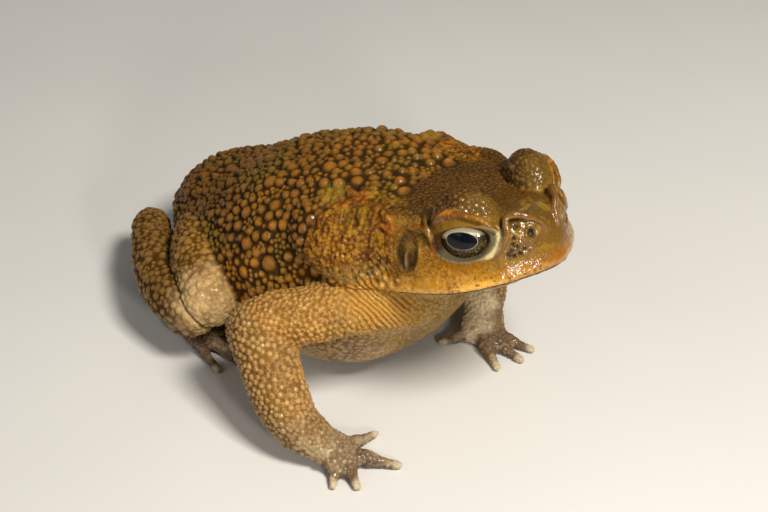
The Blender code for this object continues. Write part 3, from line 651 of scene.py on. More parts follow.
def lidBall(s):
    yaw = math.radians(lids["yaw"])
    along = np.array([math.cos(yaw), -s * math.sin(yaw), 0.0])
    across = np.array([s * math.sin(yaw), math.cos(yaw), 0.0])
    turn = headTurn @ np.column_stack([along, across, [0, 0, 1.0]])
    return ball(headPoint(np.array(lids["centre"]) * [1, s, 1]), lids["sizes"], turn)


# joins or cuts bodies by adding one Boolean to the object
def combine(obj, bodies, operation):
    group = bpy.data.collections.new("bodies")
    bpy.context.scene.collection.children.link(group)
    for body in bodies:
        other = makeObject("body", [body])
        bpy.context.scene.collection.objects.unlink(other)
        group.objects.link(other)
    modifier = obj.modifiers.new("Boolean", "BOOLEAN")
    modifier.operation = operation
    modifier.operand_type = "COLLECTION"
    modifier.collection = group
    modifier.solver = "MANIFOLD"
    return group


flesh = makeObject("flesh", [(points, faces)])
sides = list(sideSign.values())
ridges = [crest(rows, s) for s in sides for rows in crests.values()]
used = [combine(flesh, [lidBall(s) for s in sides] + ridges, "UNION"),
        combine(flesh, [eyeWedge(s) for s in sides], "DIFFERENCE"),
        combine(flesh, [lidRim(s) for s in sides], "UNION"),
        combine(flesh, [eyeCutter(s) for s in sides], "DIFFERENCE")]
points, faces, edges = outerSurface(*remeshed(flesh, skinVoxel))
drop(flesh)
for group in used:
    for obj in list(group.objects):
        drop(obj)
    bpy.data.collections.remove(group)
points = relax(points, edges, np.full(len(points), 0.5), 3)
# the ridges behind the eye are softened into the skin round them
forward, _, height = inHead(points).T
behindEye = smooth(14.5, 12.5, forward) * smooth(-4.0, -2.0, forward) * smooth(8.5, 10.0, height)
points = relax(points, edges, 0.6 * behindEye, 8)
print("skin surface:", len(points), "points")

# stage 3: regions of the skin

labels = nearestGroups(points)
masks = masksOf(labels, edges, 10)
normals = normalsOf(points, faces)
p = points
h = inHead(p)
hx, hz = h[:, 0], h[:, 2]
hy = np.abs(h[:, 1])  # the head's marks are the same on both sides
isHead = np.clip(masks["head"] + masks["tympanum"], 0, 1)
isTrunk = masks["torso"]
isGland = masks["parotoid_gland"]
isJaw = masks["lower_jaw"]
isArm = masks["upper_arm"]
isForearm = masks["forearm"]
isHand = masks["hand"]
isFinger = masks["finger"]
isLeg = masks["thigh"] + masks["shank"]
isFoot = masks["tarsus"] + masks["foot"]
isToe = masks["toe"]
# the wrist's skin changes slowly into the hand's
wrist = 0.75 * isForearm * smooth(17.0, 5.0, p[:, 2])
isForearm = isForearm - wrist
isHand = isHand + wrist
# the gland's skin reaches forward to the ear and ends in a crease above and behind
glandOval = ((hx + 8.0) / 11.5) ** 2 + ((hz - 10.0) / 9.0) ** 2
glandZone = smooth(1.10, 0.96, glandOval) * smooth(10.0, 12.5, hy) * smooth(3.0, 1.0, hx)
onGland = np.clip(glandZone * (isGland + (isTrunk + isHead) * smooth(2.0, 5.0, hz)), 0, 1)
spare = np.clip(isGland - onGland, 0, 1)
isHead = isHead * (1 - onGland) + spare * smooth(0.0, 3.0, hx)
isTrunk = isTrunk * (1 - onGland) + spare * smooth(3.0, 0.0, hx)
isGland = onGland

isBelly = isTrunk * smooth(-0.05, -0.55, normals[:, 2] + 0.15 * noise(p, 6.0, 3))
isFlank = isTrunk * smooth(0.55, 0.1, normals[:, 2]) * (1 - isBelly)

# the eye's own coordinates for its lids: along them, out, and up
eyeLocal = np.zeros_like(p)
for s in sides:
    here = p[:, 1] * s > 0
    eyeLocal[here] = (p[here] - eyeCentre(s)) @ eyeTurn(s) * [s, 1, 1]
eyeU, eyeW, eyeV = eyeLocal.T
openingHigh = np.where(eyeV > 0, eye["openingAbove"], eye["openingBelow"])
opening = np.hypot(eyeU / eye["openingWide"], eyeV / openingHigh)
nearEye = smooth(12.0, 8.5, np.linalg.norm(eyeLocal, axis=1)) * isHead
rimReach = 1.05 + 0.2 * smooth(2.5, 6.0, eyeU)
lidRimMask = smooth(rimReach + 0.1, rimReach, opening) * nearEye * smooth(-0.5, 1.0, eyeW)

lidMask = np.zeros(len(p))
yaw = math.radians(lids["yaw"])
for s in sides:
    local = h - np.array(lids["centre"]) * [1, s, 1]
    along = local[:, 0] * math.cos(yaw) - s * local[:, 1] * math.sin(yaw)
    across = s * local[:, 0] * math.sin(yaw) + local[:, 1] * math.cos(yaw)
    size = np.sqrt((along / lids["sizes"][0]) ** 2 + (across / lids["sizes"][1]) ** 2
                   + (local[:, 2] / lids["sizes"][2]) ** 2)
    lidMask = np.maximum(lidMask, smooth(1.10, 1.02, size) * (h[:, 1] * s > 0))
lidMask *= isHead * smooth(9.0, 11.0, hz)


# how near each point lies to a line through the given points of the head
def nearLine(rows, reach):
    close = isHead > 0.02
    at = np.column_stack([hx, hy, hz])[close]
    near = np.full(len(at), 99.0)
    for place in splineRows([row[:3] for row in rows], 40):
        near = np.minimum(near, np.linalg.norm(at - place, axis=1))
    apart = np.full(len(p), 99.0)
    apart[close] = near
    return smooth(reach, reach * 0.45, apart)


crestMask = {name: nearLine(rows, 1.45) for name, rows in crests.items()}
anyCrest = np.clip(sum(crestMask.values()), 0, 1)

mouthGap = hz - mouthHeight(hx)  # height over the line of the mouth
faceMask = np.clip(isHead + isJaw, 0, 1)
onSide = spread(smooth(0.75, 0.35, normals[:, 2]), edges, 30)
lipMask = isHead * smooth(4.4, 2.6, mouthGap) * smooth(-0.6, 0.0, mouthGap) * smooth(-2.0, 2.0, hx)
frontMask = isHead * smooth(24.5, 28.0, hx)
topMask = isHead * smooth(0.35, 0.75, normals @ headUp)


# distance of each point from a place in the head's frame, the same on both sides
def headApart(place):
    return np.sqrt((hx - place[0]) ** 2 + (hy - place[1]) ** 2 + (hz - place[2]) ** 2)


# the same from a place in the toad's frame
def bodyApart(place):
    return np.linalg.norm(np.column_stack([p[:, 0], np.abs(p[:, 1]), p[:, 2]]) - place, axis=1)


print("regions marked")

# stage 4: folds, lips, nostrils and ears, as heights in mm along the skin's outward way

raised = np.zeros(len(p))
mouth = {"grooveDepth": 0.75, "grooveHalf": 0.45, "lipSwell": 0.25, "lipMiddle": 1.8, "lipHalf": 1.2,
         "foldDepth": 0.12, "foldAbove": 4.3, "foldHalf": 0.7}
groove = peak(mouthGap, mouth["grooveHalf"]) * faceMask * smooth(-1.5, 0.5, hx)
raised -= mouth["grooveDepth"] * groove
raised += mouth["lipSwell"] * peak(mouthGap - mouth["lipMiddle"], mouth["lipHalf"]) * lipMask
lipFold = peak(mouthGap - mouth["foldAbove"], mouth["foldHalf"]) * isHead * smooth(2.0, 6.0, hx) * onSide
raised -= mouth["foldDepth"] * lipFold

# the nostril: an upright pit behind a small flap
nostril = {"centre": (31.2, 5.2, 9.2), "narrow": (1.5, 1.2, 0.85), "pit": 0.82, "depth": 1.2, "rim": 1.6,
           "rimHalf": 0.45, "rimHeight": 0.3, "flapCentre": (31.75, 4.45, 9.1), "flapReach": 0.6, "flap": 0.6}
fromNostril = (np.column_stack([hx, hy, hz]) - nostril["centre"]) * nostril["narrow"]
apart = np.sqrt((fromNostril**2).sum(axis=1))
nostrilPit = isHead * peak(apart, nostril["pit"], 3)
nostrilRim = isHead * peak(apart - nostril["rim"], nostril["rimHalf"])
nostrilFlap = isHead * peak(headApart(nostril["flapCentre"]), nostril["flapReach"])
raised += nostril["rimHeight"] * nostrilRim + nostril["flap"] * nostrilFlap - nostril["depth"] * nostrilPit

# dark pits in front of the eye, with granules round them
pits = {"places": [(28.6, 7.2, 11.2), (28.9, 8.5, 9.2), (28.8, 9.1, 8.1), (29.3, 8.8, 7.2), (28.5, 9.7, 6.6),
                   (27.9, 10.4, 5.8), (28.9, 9.6, 5.5), (29.6, 8.6, 5.6), (30.4, 7.4, 6.2)],
        "reach": 0.46, "depth": 0.5, "granules": 0.22, "granuleSize": 0.75, "middle": (28.8, 9.2, 6.8),
        "granulesReach": 3.0}
pitMask = np.zeros(len(p))
pitEdge = 1 + 0.7 * noise(p, 0.55, 13)
for place in pits["places"]:
    pitMask = np.maximum(pitMask, peak(headApart(place) * pitEdge, pits["reach"]) * isHead)
raised -= pits["depth"] * pitMask
pitted = isHead * peak(headApart(pits["middle"]), pits["granulesReach"])
raised += pits["granules"] * pitted * noise(p, pits["granuleSize"], 15) * (1 - pitMask)

# the ear: a sunken disc with a rim and an upright fold in its lower half
ear = {"centre": (6.2, 8.0), "half": (3.2, 4.7), "depth": 0.35, "rim": 0.22, "fold": 0.5, "foldHalf": 0.42,
       "foldLean": 0.12, "foldDown": 1.8}
earX, earZ = hx - ear["centre"][0], hz - ear["centre"][1]
earEdge = np.hypot(earX / ear["half"][0], earZ / ear["half"][1])
onEar = np.clip(isHead + isGland, 0, 1) * (hy > 14) * onSide
earMask = onEar * smooth(1.02, 0.72, earEdge)
foldLine = earX + 0.1 - ear["foldLean"] * earZ + 0.25 * noise(p, 1.6, 9)
earFold = onEar * peak(foldLine, ear["foldHalf"])
earFold *= smooth(1.0, 0.3, np.abs(earZ + ear["foldDown"]) / 3.0)
raised += ear["rim"] * onEar * peak(earEdge - 1.06, 0.09) - ear["depth"] * earMask + ear["fold"] * earFold

# beads at the corner of the mouth: x, y, height, radius
beads = [(-4.6, 22.4, -0.6, 1.0), (-2.4, 22.4, -0.6, 1.05), (0.6, 22.3, -0.1, 1.1), (-0.8, 22.3, 1.6, 0.8),
         (2.8, 22.2, 1.2, 0.8), (-3.4, 22.3, 1.4, 0.8)]
beadHeight = 0.6
beadMask = np.zeros(len(p))
for *place, radius in beads:
    beadMask = np.maximum(beadMask, np.clip(1 - (headApart(place) / radius) ** 2, 0, 1) ** 0.6)
raised += beadHeight * beadMask

# wrinkles that run from the throat to the arm, and smaller ones at the neck
wrinkles = {"height": 0.2, "space": 1.1, "armpit": (21.5, 21.0, 34.5), "reach": 12.0, "full": 6.0,
            "neckHeight": 0.2, "neckSpace": 1.3, "neck": (-3.5, 3.0)}
wave = noise(p, 5.0, 11) * 0.8 + noise(p, 1.8, 12) * 0.2
wrinkleMask = smooth(wrinkles["reach"], wrinkles["full"], bodyApart(wrinkles["armpit"]))
wrinkleMask *= np.clip(isArm + isTrunk * 0.8 + isJaw * 0.5, 0, 1)
along = p[:, 0] * 0.17 - np.abs(p[:, 1]) * 0.77 + p[:, 2] * 0.62
wrinkleWave = np.sin(2 * math.pi * (along / wrinkles["space"] + wave))
raised += wrinkles["height"] * wrinkleMask * wrinkleWave
neckApart = np.hypot(hx - wrinkles["neck"][0], hz - wrinkles["neck"][1])
neckMask = smooth(6.0, 2.5, neckApart) * (hy > 17) * (1 - isArm)
neckWave = np.sin(2 * math.pi * ((hx * 0.8 + hz * 0.5) / wrinkles["neckSpace"] + wave))
raised += wrinkles["neckHeight"] * neckMask * neckWave

# the gland's skin, in mm, and how much longer than wide its lumps are
glandSkin = {"crease": 0.6, "ridge": 0.26, "lump": 0.25, "pore": 0.32, "stretch": 2.1}

# the creases behind the gland and between folded parts, with their depths
glandCrease = peak(glandOval - 1.08, 0.11) * smooth(10.0, 12.5, hy) * smooth(-3.0, -8.0, hx)
glandCrease *= smooth(5.0, 9.0, hz) * (isTrunk + isGland)
raised -= glandSkin["crease"] * glandCrease
clefts = {("thigh", "shank"): 0.9, ("thigh", "torso"): 0.5, ("shank", "torso"): 0.5,
          ("upper_arm", "torso"): 0.15, ("parotoid_gland", "upper_arm"): 0.4}
# where painted shade goes in the clefts between parts
cleftShade = np.zeros(len(p))
for (one, other), depth in clefts.items():
    between = np.clip(4 * masks[one] * masks[other], 0, 1) ** 1.5
    raised -= depth * between
    cleftShade = np.maximum(cleftShade, between * min(1.0, depth * 1.6))
cleftShade *= 1 - smooth(-18.0, 0.0, p[:, 0]) * isLeg
cleftShade = np.maximum(cleftShade, 0.8 * glandCrease)
print("folds made")

# stage 5: warts, first the large ones in their places, then the others scattered between them

# radius of a wart in mm, its height as a share of that, and its spacing as a share of touching
wartSizes = {
    "back": (1.02, 0.66, 1.04), "flank": (1.0, 0.62, 1.12), "belly": (0.55, 0.25, 1.02),
    "gland": (0.45, 0.12, 1.3), "headTop": (0.42, 0.22, 1.1), "cheek": (0.42, 0.06, 1.5),
    "lid": (0.5, 0.36, 1.12), "jaw": (0.45, 0.14, 1.1), "arm": (0.66, 0.9, 1.1),
    "forearm": (0.70, 0.8, 1.1), "hand": (0.52, 0.42, 1.08), "digit": (0.42, 0.3, 1.1),
    "leg": (0.88, 0.50, 1.12), "foot": (0.5, 0.24, 1.08),
}
regionMasks = {
    "back": isTrunk * (1 - isBelly) * (1 - smooth(0.55, 0.1, normals[:, 2])), "flank": isFlank,
    "belly": isBelly, "gland": isGland, "headTop": isHead * (1 - onSide) * (1 - lidMask),
    "cheek": isHead * onSide * (1 - lidMask), "lid": lidMask, "jaw": isJaw, "arm": isArm,
    "forearm": isForearm, "hand": isHand, "digit": isFinger + isToe, "leg": isLeg, "foot": isFoot,
}
weightSum = sum(regionMasks.values()) + 1e-6


def byRegion(which):
    return sum(mask * wartSizes[name][which] for name, mask in regionMasks.items()) / weightSum


wartRadius = byRegion(0) * (1 + 0.12 * noise(p, 5.0, 21))
wartHeight = byRegion(1)
wartSpace = byRegion(2)

# the knee, the lips, the ear and the ridges of bone are smooth
knee = {"place": (-22.0, 36.8, 19.0), "reach": 11.5, "full": 4.0}
kneeMask = smooth(knee["reach"], knee["full"], bodyApart(knee["place"]) + 1.5 * noise(p, 2.5, 17)) * isLeg
eyeBand = nearEye * smooth(2.0, 1.6, opening) * smooth(-0.5, 1.0, eyeW)
smoothSkin = np.clip(lipMask + earMask + 0.8 * anyCrest * (1 - 0.6 * lidMask) + eyeBand + groove
                     + 0.8 * smooth(29.5, 31.5, hx) * isHead, 0, 1)
wartHeight = wartHeight * (1 - 0.85 * smoothSkin) * (1 - 0.35 * kneeMask) * (1 - 0.7 * wrinkleMask)

# large warts of the trunk: place along the body, degrees from the left over the back, radius
largeWarts = [(-19.6, 138, 1.7), (-24.2, 138, 1.4), (-18.1, 120, 2.0), (-10.5, 132, 1.7), (0.0, 134, 2.5),
              (-14.5, 153, 1.8), (-5.7, 162, 2.2), (-13.7, 168, 1.7), (-10.5, 138, 1.4), (-20.5, 146, 1.45),
              (-11.9, 149, 1.4), (-9.9, 162, 1.4), (-0.5, 158, 1.4), (0.6, 116, 1.45), (4.9, 114, 1.7),
              (8.8, 109, 1.7), (13.5, 103, 1.4), (6.2, 104, 1.6), (-2.7, 106, 2.0), (8.3, 92, 1.7),
              (0.0, 93, 1.5), (-8.5, 92, 1.5), (-21.4, 72, 1.5), (-25.1, 74, 1.5), (-13.4, 80, 1.5),
              (-25.7, 86, 1.5), (-28.4, 104, 1.8), (-17.5, 97, 1.5), (1.4, 77, 1.7), (-52.1, 120, 1.6),
              (-45.5, 106, 1.9), (-62.7, 119, 1.5), (9.6, 65, 1.5), (10.1, 85, 1.5), (-11.9, 113, 1.5),
              (-36.0, 121, 1.9)]
otherSide = {"along": 2, "degrees": 5, "size": 0.8}  # how much the left side's large warts differ
neckWart = {"place": (16.7, 7.8, 54.6), "radius": 1.9}


def trunkPlace(x, degrees):
    rows = splineRows(trunkRows, 200)
    return trunkRing(rows[np.argmin(abs(rows[:, 0] - x))], 360)[int(degrees) % 360]


tree = KDTree(len(p))
for i, place in enumerate(p.tolist()):
    tree.insert(place, i)
tree.balance()

draw = random.Random(7)
seeds = []
for x, degrees, radius in largeWarts:
    seeds.append((trunkPlace(x, degrees), radius))
    x += draw.uniform(-otherSide["along"], otherSide["along"])
    degrees = 180 - degrees + draw.uniform(-otherSide["degrees"], otherSide["degrees"])
    seeds.append((trunkPlace(x, degrees), radius * otherSide["size"]))
for s in sides:
    seeds.append((np.array(neckWart["place"]) * [1, s, 1], neckWart["radius"]))

count = len(p)
nearest = np.full(count, 9.0)  # distance to the nearest wart, in its own radii
owner = np.zeros(count, dtype=np.int32)
blocked = bytearray(count)
wartValues = [(0.0, 0.0)]  # radius of each wart, and a random value


def growWart(index, radius, space):
    k = len(wartValues)
    wartValues.append((radius, draw.random()))
    found = tree.find_range(pList[index], radius * 1.7)
    where = np.fromiter((f[1] for f in found), dtype=np.int64, count=len(found))
    apart = np.fromiter((f[2] for f in found), dtype=np.float64, count=len(found)) / radius
    better = apart < nearest[where]
    nearest[where[better]] = apart[better]
    owner[where[better]] = k
    inner = min(radius, radiusList[index])
    for j in where[apart * radius < (radius + inner) * space].tolist():
        blocked[j] = 1


pList = p.tolist()
radiusList = wartRadius.tolist()
spaceList = wartSpace.tolist()
onArm = np.clip(isArm + isForearm, 0, 1)
evenList = onArm.tolist()  # the arm's warts differ less in size
bareList = (smoothSkin > 0.75).tolist()
seedable = (masks["torso"] + masks["head"] > 0.6) & (masks["parotoid_gland"] < 0.3)
for place, radius in seeds:
    _, index, _ = tree.find(place)
    if not blocked[index] and seedable[index]:
        growWart(index, radius, 1.0)
# a wart's radius beside its region's: the least, how much it can grow, and how rare large ones are
wartSpread = {"least": 0.56, "more": 0.98, "rarity": 2.2, "armLeast": 0.84, "armMore": 0.3}
order = list(range(count))
draw.shuffle(order)
for index in order:
    if blocked[index] or bareList[index]:
        continue
    share = draw.random()
    size = wartSpread["least"] + wartSpread["more"] * share ** wartSpread["rarity"]
    size += evenList[index] * (wartSpread["armLeast"] + wartSpread["armMore"] * share - size)
    growWart(index, radiusList[index] * size, spaceList[index])
print("warts grown:", len(wartValues) - 1)

ownRadius, ownValue = np.array(wartValues)[owner].T
uneven = nearest * (1 + 0.10 * noise(p, 0.9, 41))
dome = np.clip(1 - uneven**2.3, 0, 1) ** 0.75
crease = smooth(0.75, 1.1, uneven)
tip = smooth(0.5, 0.1, uneven)
raised += wartHeight * (0.75 + 0.5 * ownValue) * ownRadius * (dome - 0.25)

# unevenness of the skin itself: height, size of a lump, seed
unevenness = {"ridges": ((0.18, 1.3, 63), (0.09, 0.6, 64)), "snout": ((0.07, 0.9, 70), (0.1, 2.2, 72)),
              "trunk": ((0.4, 6.5, 61), (0.2, 3.4, 62))}


def lumps(name):
    return sum(height * noise(p, size, seed) for height, size, seed in unevenness[name])


allOver = 0.10 * layered(p, 1.2, 2, 51) + 0.05 * noise(p, 0.55, 57)
raised += allOver * (1 - 0.6 * smoothSkin) * (1 - 0.4 * dome)
raised += (anyCrest - 0.6 * crestMask["canthal"]) * lumps("ridges")
raised += frontMask * lumps("snout")
raised += lumps("trunk") * isTrunk

# the gland's skin: short upright ridges with pores between them
glandLocal = np.zeros_like(p)
for s in sides:
    here = p[:, 1] * s > 0
    glandLocal[here] = (p[here] - np.array(gland["centre"]) * [1, s, 1]) @ glandTurn(s) * [1, 1, s]
stretched = glandLocal / [1.0, 1.0, glandSkin["stretch"]] + 0.5 * noise(p, 5.0, 73)[:, None]
ridge = 1 - 2 * np.abs(noise(stretched, 1.25, 75))
raised += isGland * (glandSkin["ridge"] * ridge + glandSkin["lump"] * noise(p, 2.6, 77))
pore = smooth(0.35, 0.6, noise(stretched, 0.85, 71)) * isGland
raised -= glandSkin["pore"] * pore

skinPoints = p + normals * raised[:, None]
skinPoints = relax(skinPoints, edges, np.full(count, 0.12), 1)
skinPoints[:, 2] = np.maximum(skinPoints[:, 2], 0.0)
print("skin raised")

# stage 6: colours of the skin, all in sRGB

# per region: between the warts, the skin, the top of a wart's dome, a wart's tip; the dark between the warts
# is partly painted shade and the pale domes partly painted light
palette = {
    "back": ((42, 24, 3), (84, 53, 8), (122, 80, 12), (150, 90, 16)),
    "flank": ((54, 30, 3), (110, 68, 8), (156, 102, 16), (174, 110, 24)),
    "belly": ((140, 108, 66), (160, 130, 88), (172, 144, 102), (182, 156, 116)),
    "gland": ((84, 46, 4), (120, 77, 9), (136, 90, 16), (152, 98, 20)),
    "headTop": ((56, 32, 4), (76, 47, 6), (96, 63, 14), (120, 84, 34)),
    "cheek": ((128, 82, 10), (146, 98, 14), (154, 107, 20), (166, 122, 34)),
    "lid": ((46, 26, 4), (72, 44, 8), (92, 58, 12), (124, 82, 26)),
    "jaw": ((142, 110, 52), (168, 136, 62), (184, 152, 84), (196, 166, 102)),
    "arm": ((134, 92, 36), (158, 116, 52), (178, 136, 72), (132, 74, 24)),
    "forearm": ((106, 74, 30), (138, 102, 50), (162, 126, 72), (120, 70, 26)),
    "hand": ((104, 82, 52), (132, 110, 80), (138, 116, 86), (124, 96, 64)),
    "digit": ((84, 64, 44), (114, 92, 70), (124, 102, 80), (136, 116, 94)),
    "leg": ((76, 47, 10), (112, 76, 20), (138, 99, 36), (162, 122, 56)),
    "foot": ((92, 68, 36), (126, 97, 56), (144, 114, 72), (152, 122, 82)),
}
# marks painted over that
marks = {
    "largest warts": (156, 84, 10), "lips": (178, 124, 22), "lip edge": (214, 162, 74),
    "cheek, dark": (86, 50, 6), "cheek, pale": (204, 156, 66), "cheek specks": (140, 64, 6),
    "lip specks": (112, 54, 8), "crown": (84, 52, 8), "brow": (112, 66, 8), "brow, painted highlight": (192, 124, 38),
    "canthal ridge": (106, 68, 8), "ear ridge": (126, 66, 4), "upper ridge": (66, 38, 6),
    "front of the lid, painted light": (124, 94, 30), "under the brow": (124, 90, 24), "snout": (88, 62, 8),
    "snout, pale": (136, 100, 26), "eye rim": (172, 158, 120), "eye rim, front": (196, 176, 124),
    "eye rim, top": (176, 104, 36), "eye socket, painted shade": (26, 15, 6), "pits": (36, 18, 4),
    "nostril flap": (176, 150, 106), "nostril": (20, 11, 4), "mouth": (40, 22, 8), "ear rim": (120, 86, 18),
    "ear": (44, 31, 9), "ear, ring": (36, 22, 5), "ear fold": (150, 120, 86), "beads": (206, 160, 92),
    "orange spots": (170, 76, 8), "shoulder": (146, 118, 34), "gland, dark": (82, 44, 4),
    "gland, pale": (160, 114, 26), "gland, below": (166, 132, 66), "pores": (62, 30, 4),
    "knee": (200, 166, 114), "inner forearm": (230, 208, 168), "chest": (146, 116, 54),
    "wrinkles": (186, 130, 46), "belly blotches": (104, 78, 48), "hand blotches": (104, 74, 38),
    "hand, pale": (180, 158, 118), "digit tips": (196, 178, 146),
}


def colourOf(which):
    return sum(regionMasks[k][:, None] * linear(v[which]) for k, v in palette.items()) / weightSum[:, None]


def mix(other, share):
    colour[:] = colour + (other - colour) * share[:, None]


def paint(mark, share):
    mix(linear(marks[mark]), np.clip(share, 0, 1))


def darken(share):
    colour[:] = colour * (1 - share)[:, None]


broad = noise(p, 9.0, 81)
patch = layered(p, 4.0, 3, 85)
colour = colourOf(1)
# paler wart domes and darker gaps between them: partly the skin's own colour, partly painted light on the
# domes and painted shade in the gaps
mix(colourOf(2), dome**0.7)
mix(colourOf(0), crease * (0.8 + 0.2 * noise(p, 2.0, 87)))
tipShare = tip * smooth(0.15, 0.9, ownValue) * (1 - smoothSkin)
armTips = smooth(0.72, 0.2, uneven) * smooth(0.25 - 0.2 * isArm, 0.7 - 0.25 * isArm, ownValue)
mix(colourOf(3), np.maximum(tipShare, onArm * armTips * (1 - wrinkleMask)))
colour *= (1 + 0.16 * broad + 0.14 * patch)[:, None]
# ochre turns olive in places, the largest warts are orange, and the rump and shanks get painted shade
olive = smooth(-0.2, 0.7, noise(p, 8.0, 82)) * np.clip(isTrunk - isBelly + isGland + 0.5 * isHead, 0, 1)
colour *= 1 + olive[:, None] * np.array([-0.14, 0.08, 0.02])
paint("largest warts", smooth(1.25, 1.6, ownRadius) * smooth(0.8, 0.2, uneven) * isTrunk * 0.7)
# painted shade on the rump and the shanks
darken(0.25 * smooth(-15.0, -50.0, p[:, 0]) * isTrunk + 0.3 * masks["shank"])

# the head
paint("lips", lipMask * (0.75 + 0.2 * patch) * (1 - 0.75 * smooth(22.0, 31.0, hx)))
lipEdge = isHead * smooth(2.4, 1.2, mouthGap + 0.5 * noise(p, 4.0, 94)) * smooth(-0.4, 0.2, mouthGap)
lipEdge *= smooth(-2.0, 2.0, hx) * (1 - 0.7 * smooth(24.0, 31.0, hx))
paint("lip edge", lipEdge * 0.85)
cheek = isHead * onSide * (1 - crestMask["brow"]) * (1 - eyeBand) * smooth(24.0, 20.0, hx)
cheekPatch = layered(p, 2.4, 3, 74)
paint("cheek, dark", cheek * smooth(0.1, 0.7, cheekPatch) * 0.5)
paint("cheek, pale", cheek * smooth(0.1, 0.7, -cheekPatch) * 0.45)
cheekSpecks = smooth(0.25, 0.5, noise(p, 0.75, 66)) * smooth(-0.2, 0.5, noise(p, 5.0, 67))
paint("cheek specks", isHead * onSide * smooth(9.0, 6.0, mouthGap) * cheekSpecks * 0.6)
lipSpecks = smooth(0.3, 0.5, noise(p, 0.6, 91)) * smooth(-0.4, 0.3, noise(p, 4.0, 92))
paint("lip specks", isHead * smooth(5.5, 3.0, mouthGap) * smooth(-0.6, 0.0, mouthGap) * lipSpecks * 0.8)
paint("crown", topMask * smooth(14, 20, hx) * (1 - lidMask) * 0.6)
paint("brow", crestMask["brow"] * 0.9)
# a painted highlight on the brow's upward-facing top
browHighlight = smooth(-0.1, 0.4, noise(p, 1.3, 65)) * smooth(0.0, 0.8, normals[:, 2])
paint("brow, painted highlight", crestMask["brow"] * browHighlight * 0.7)
paint("canthal ridge", crestMask["canthal"] * 0.85)
paint("ear ridge", crestMask["ear"] * 0.55)
paint("upper ridge", crestMask["earUpper"] * 0.5)
# painted light: the front of each lid lighter, as where the light falls on it
paint("front of the lid, painted light", lidMask * smooth(20.0, 24.5, hx + 0.3 * (hz - 12.0)) * 0.3)
underBrow = eyeBand * (eyeV > 0) * (1 - np.clip(crestMask["brow"], 0, 1))
paint("under the brow", underBrow * (0.8 + 0.2 * noise(p * [4, 4, 1], 2.0, 93)))
snout = isHead * smooth(22.5, 27.0, hx) * smooth(1.5, 6.0, hz) * (1 - crestMask["canthal"]) * (1 - lidRimMask)
paint("snout", snout * 0.75)
paint("snout, pale", snout * smooth(0.0, 0.5, layered(p, 2.2, 2, 69)) * 0.6)
paint("eye rim", lidRimMask * smooth(1.4, -0.8, eyeV - 0.4 * eyeU) * (0.8 + 0.15 * patch))
paint("eye rim, front", lidRimMask * smooth(3.5, 6.0, eyeU) * 0.85)
paint("eye rim, top", lidRimMask * smooth(0.8, 2.0, eyeV) * 0.5)
# painted shade on the wall of the opening, where the lids meet the eyeball
paint("eye socket, painted shade", smooth(1.16, 1.02, opening) * nearEye * smooth(0.0, 1.0, eyeW) * 0.8)
paint("pits", pitMask * 1.4)
paint("nostril flap", nostrilFlap * 0.85)
# the nostril's pit painted almost black: painted shade of its opening
paint("nostril", np.clip(nostrilPit * 1.6, 0, 1) * (1 - 0.6 * nostrilFlap))
# painted shade along the groove of the mouth, where the jaws meet
paint("mouth", groove * 0.85)
paint("ear rim", onEar * peak(earEdge - 1.12, 0.14) * 0.6)
paint("ear", earMask * (0.85 + 0.15 * noise(p, 1.2, 99)))
paint("ear, ring", onEar * peak(earEdge - 0.8, 0.2) * (0.7 + 0.25 * noise(p, 1.4, 98)))
paint("ear fold", earFold * 0.6)
paint("beads", beadMask * 0.6)

# the gland and the shoulder, with orange spots given as x, y, height and reach
orangeSpots = [(0.2, 18.0, 13.0, 2.6), (-9.8, 15.9, 17.8, 2.0), (-14.4, 19.0, 17.9, 1.8),
               (-3.0, 17.0, 15.0, 2.0)]
orange = np.zeros(len(p))
for *place, reach in orangeSpots:
    orange = np.maximum(orange, peak(headApart(place), reach))
paint("orange spots", np.clip(isGland + isHead, 0, 1) * orange * (0.45 + 0.3 * ridge))
# painted shade in the low parts between the gland's ridges
darken(0.22 * isGland * smooth(0.2, -0.7, ridge))
paint("shoulder", smooth(5.5, 1.5, bodyApart((2.0, 17.0, 52.6))) * isTrunk * (1 - 0.7 * dome) * 0.8)
mottle = noise(stretched, 0.8, 79) + 0.4 * noise(p, 0.6, 80)
paint("gland, dark", isGland * smooth(0.1, 0.6, -mottle) * 0.7)
paint("gland, pale", isGland * smooth(0.15, 0.6, mottle) * smooth(-0.5, 0.5, noise(p, 4.0, 78)) * 0.6)
paint("gland, below", isGland * smooth(6.5, 2.5, hz) * 0.45)
paint("pores", pore * 0.75)

# limbs, folds and the underside
paint("knee", kneeMask * 0.75)
innerForearm = np.clip(isForearm + 0.7 * isHand, 0, 1) * (p[:, 1] > 0) * smooth(-0.1, 0.5, -normals[:, 1])
paint("inner forearm", innerForearm * 0.85)
# painted shade in the clefts between the legs and the body, and in the crease behind the gland
darken(0.55 * np.clip(cleftShade, 0, 1))
chest = smooth(15.0, 21.0, p[:, 0]) * smooth(39.0, 35.0, p[:, 2]) * np.clip(isArm + isJaw + isTrunk, 0, 1)
paint("chest", chest * 0.6)
paint("wrinkles", wrinkleMask * 0.65)
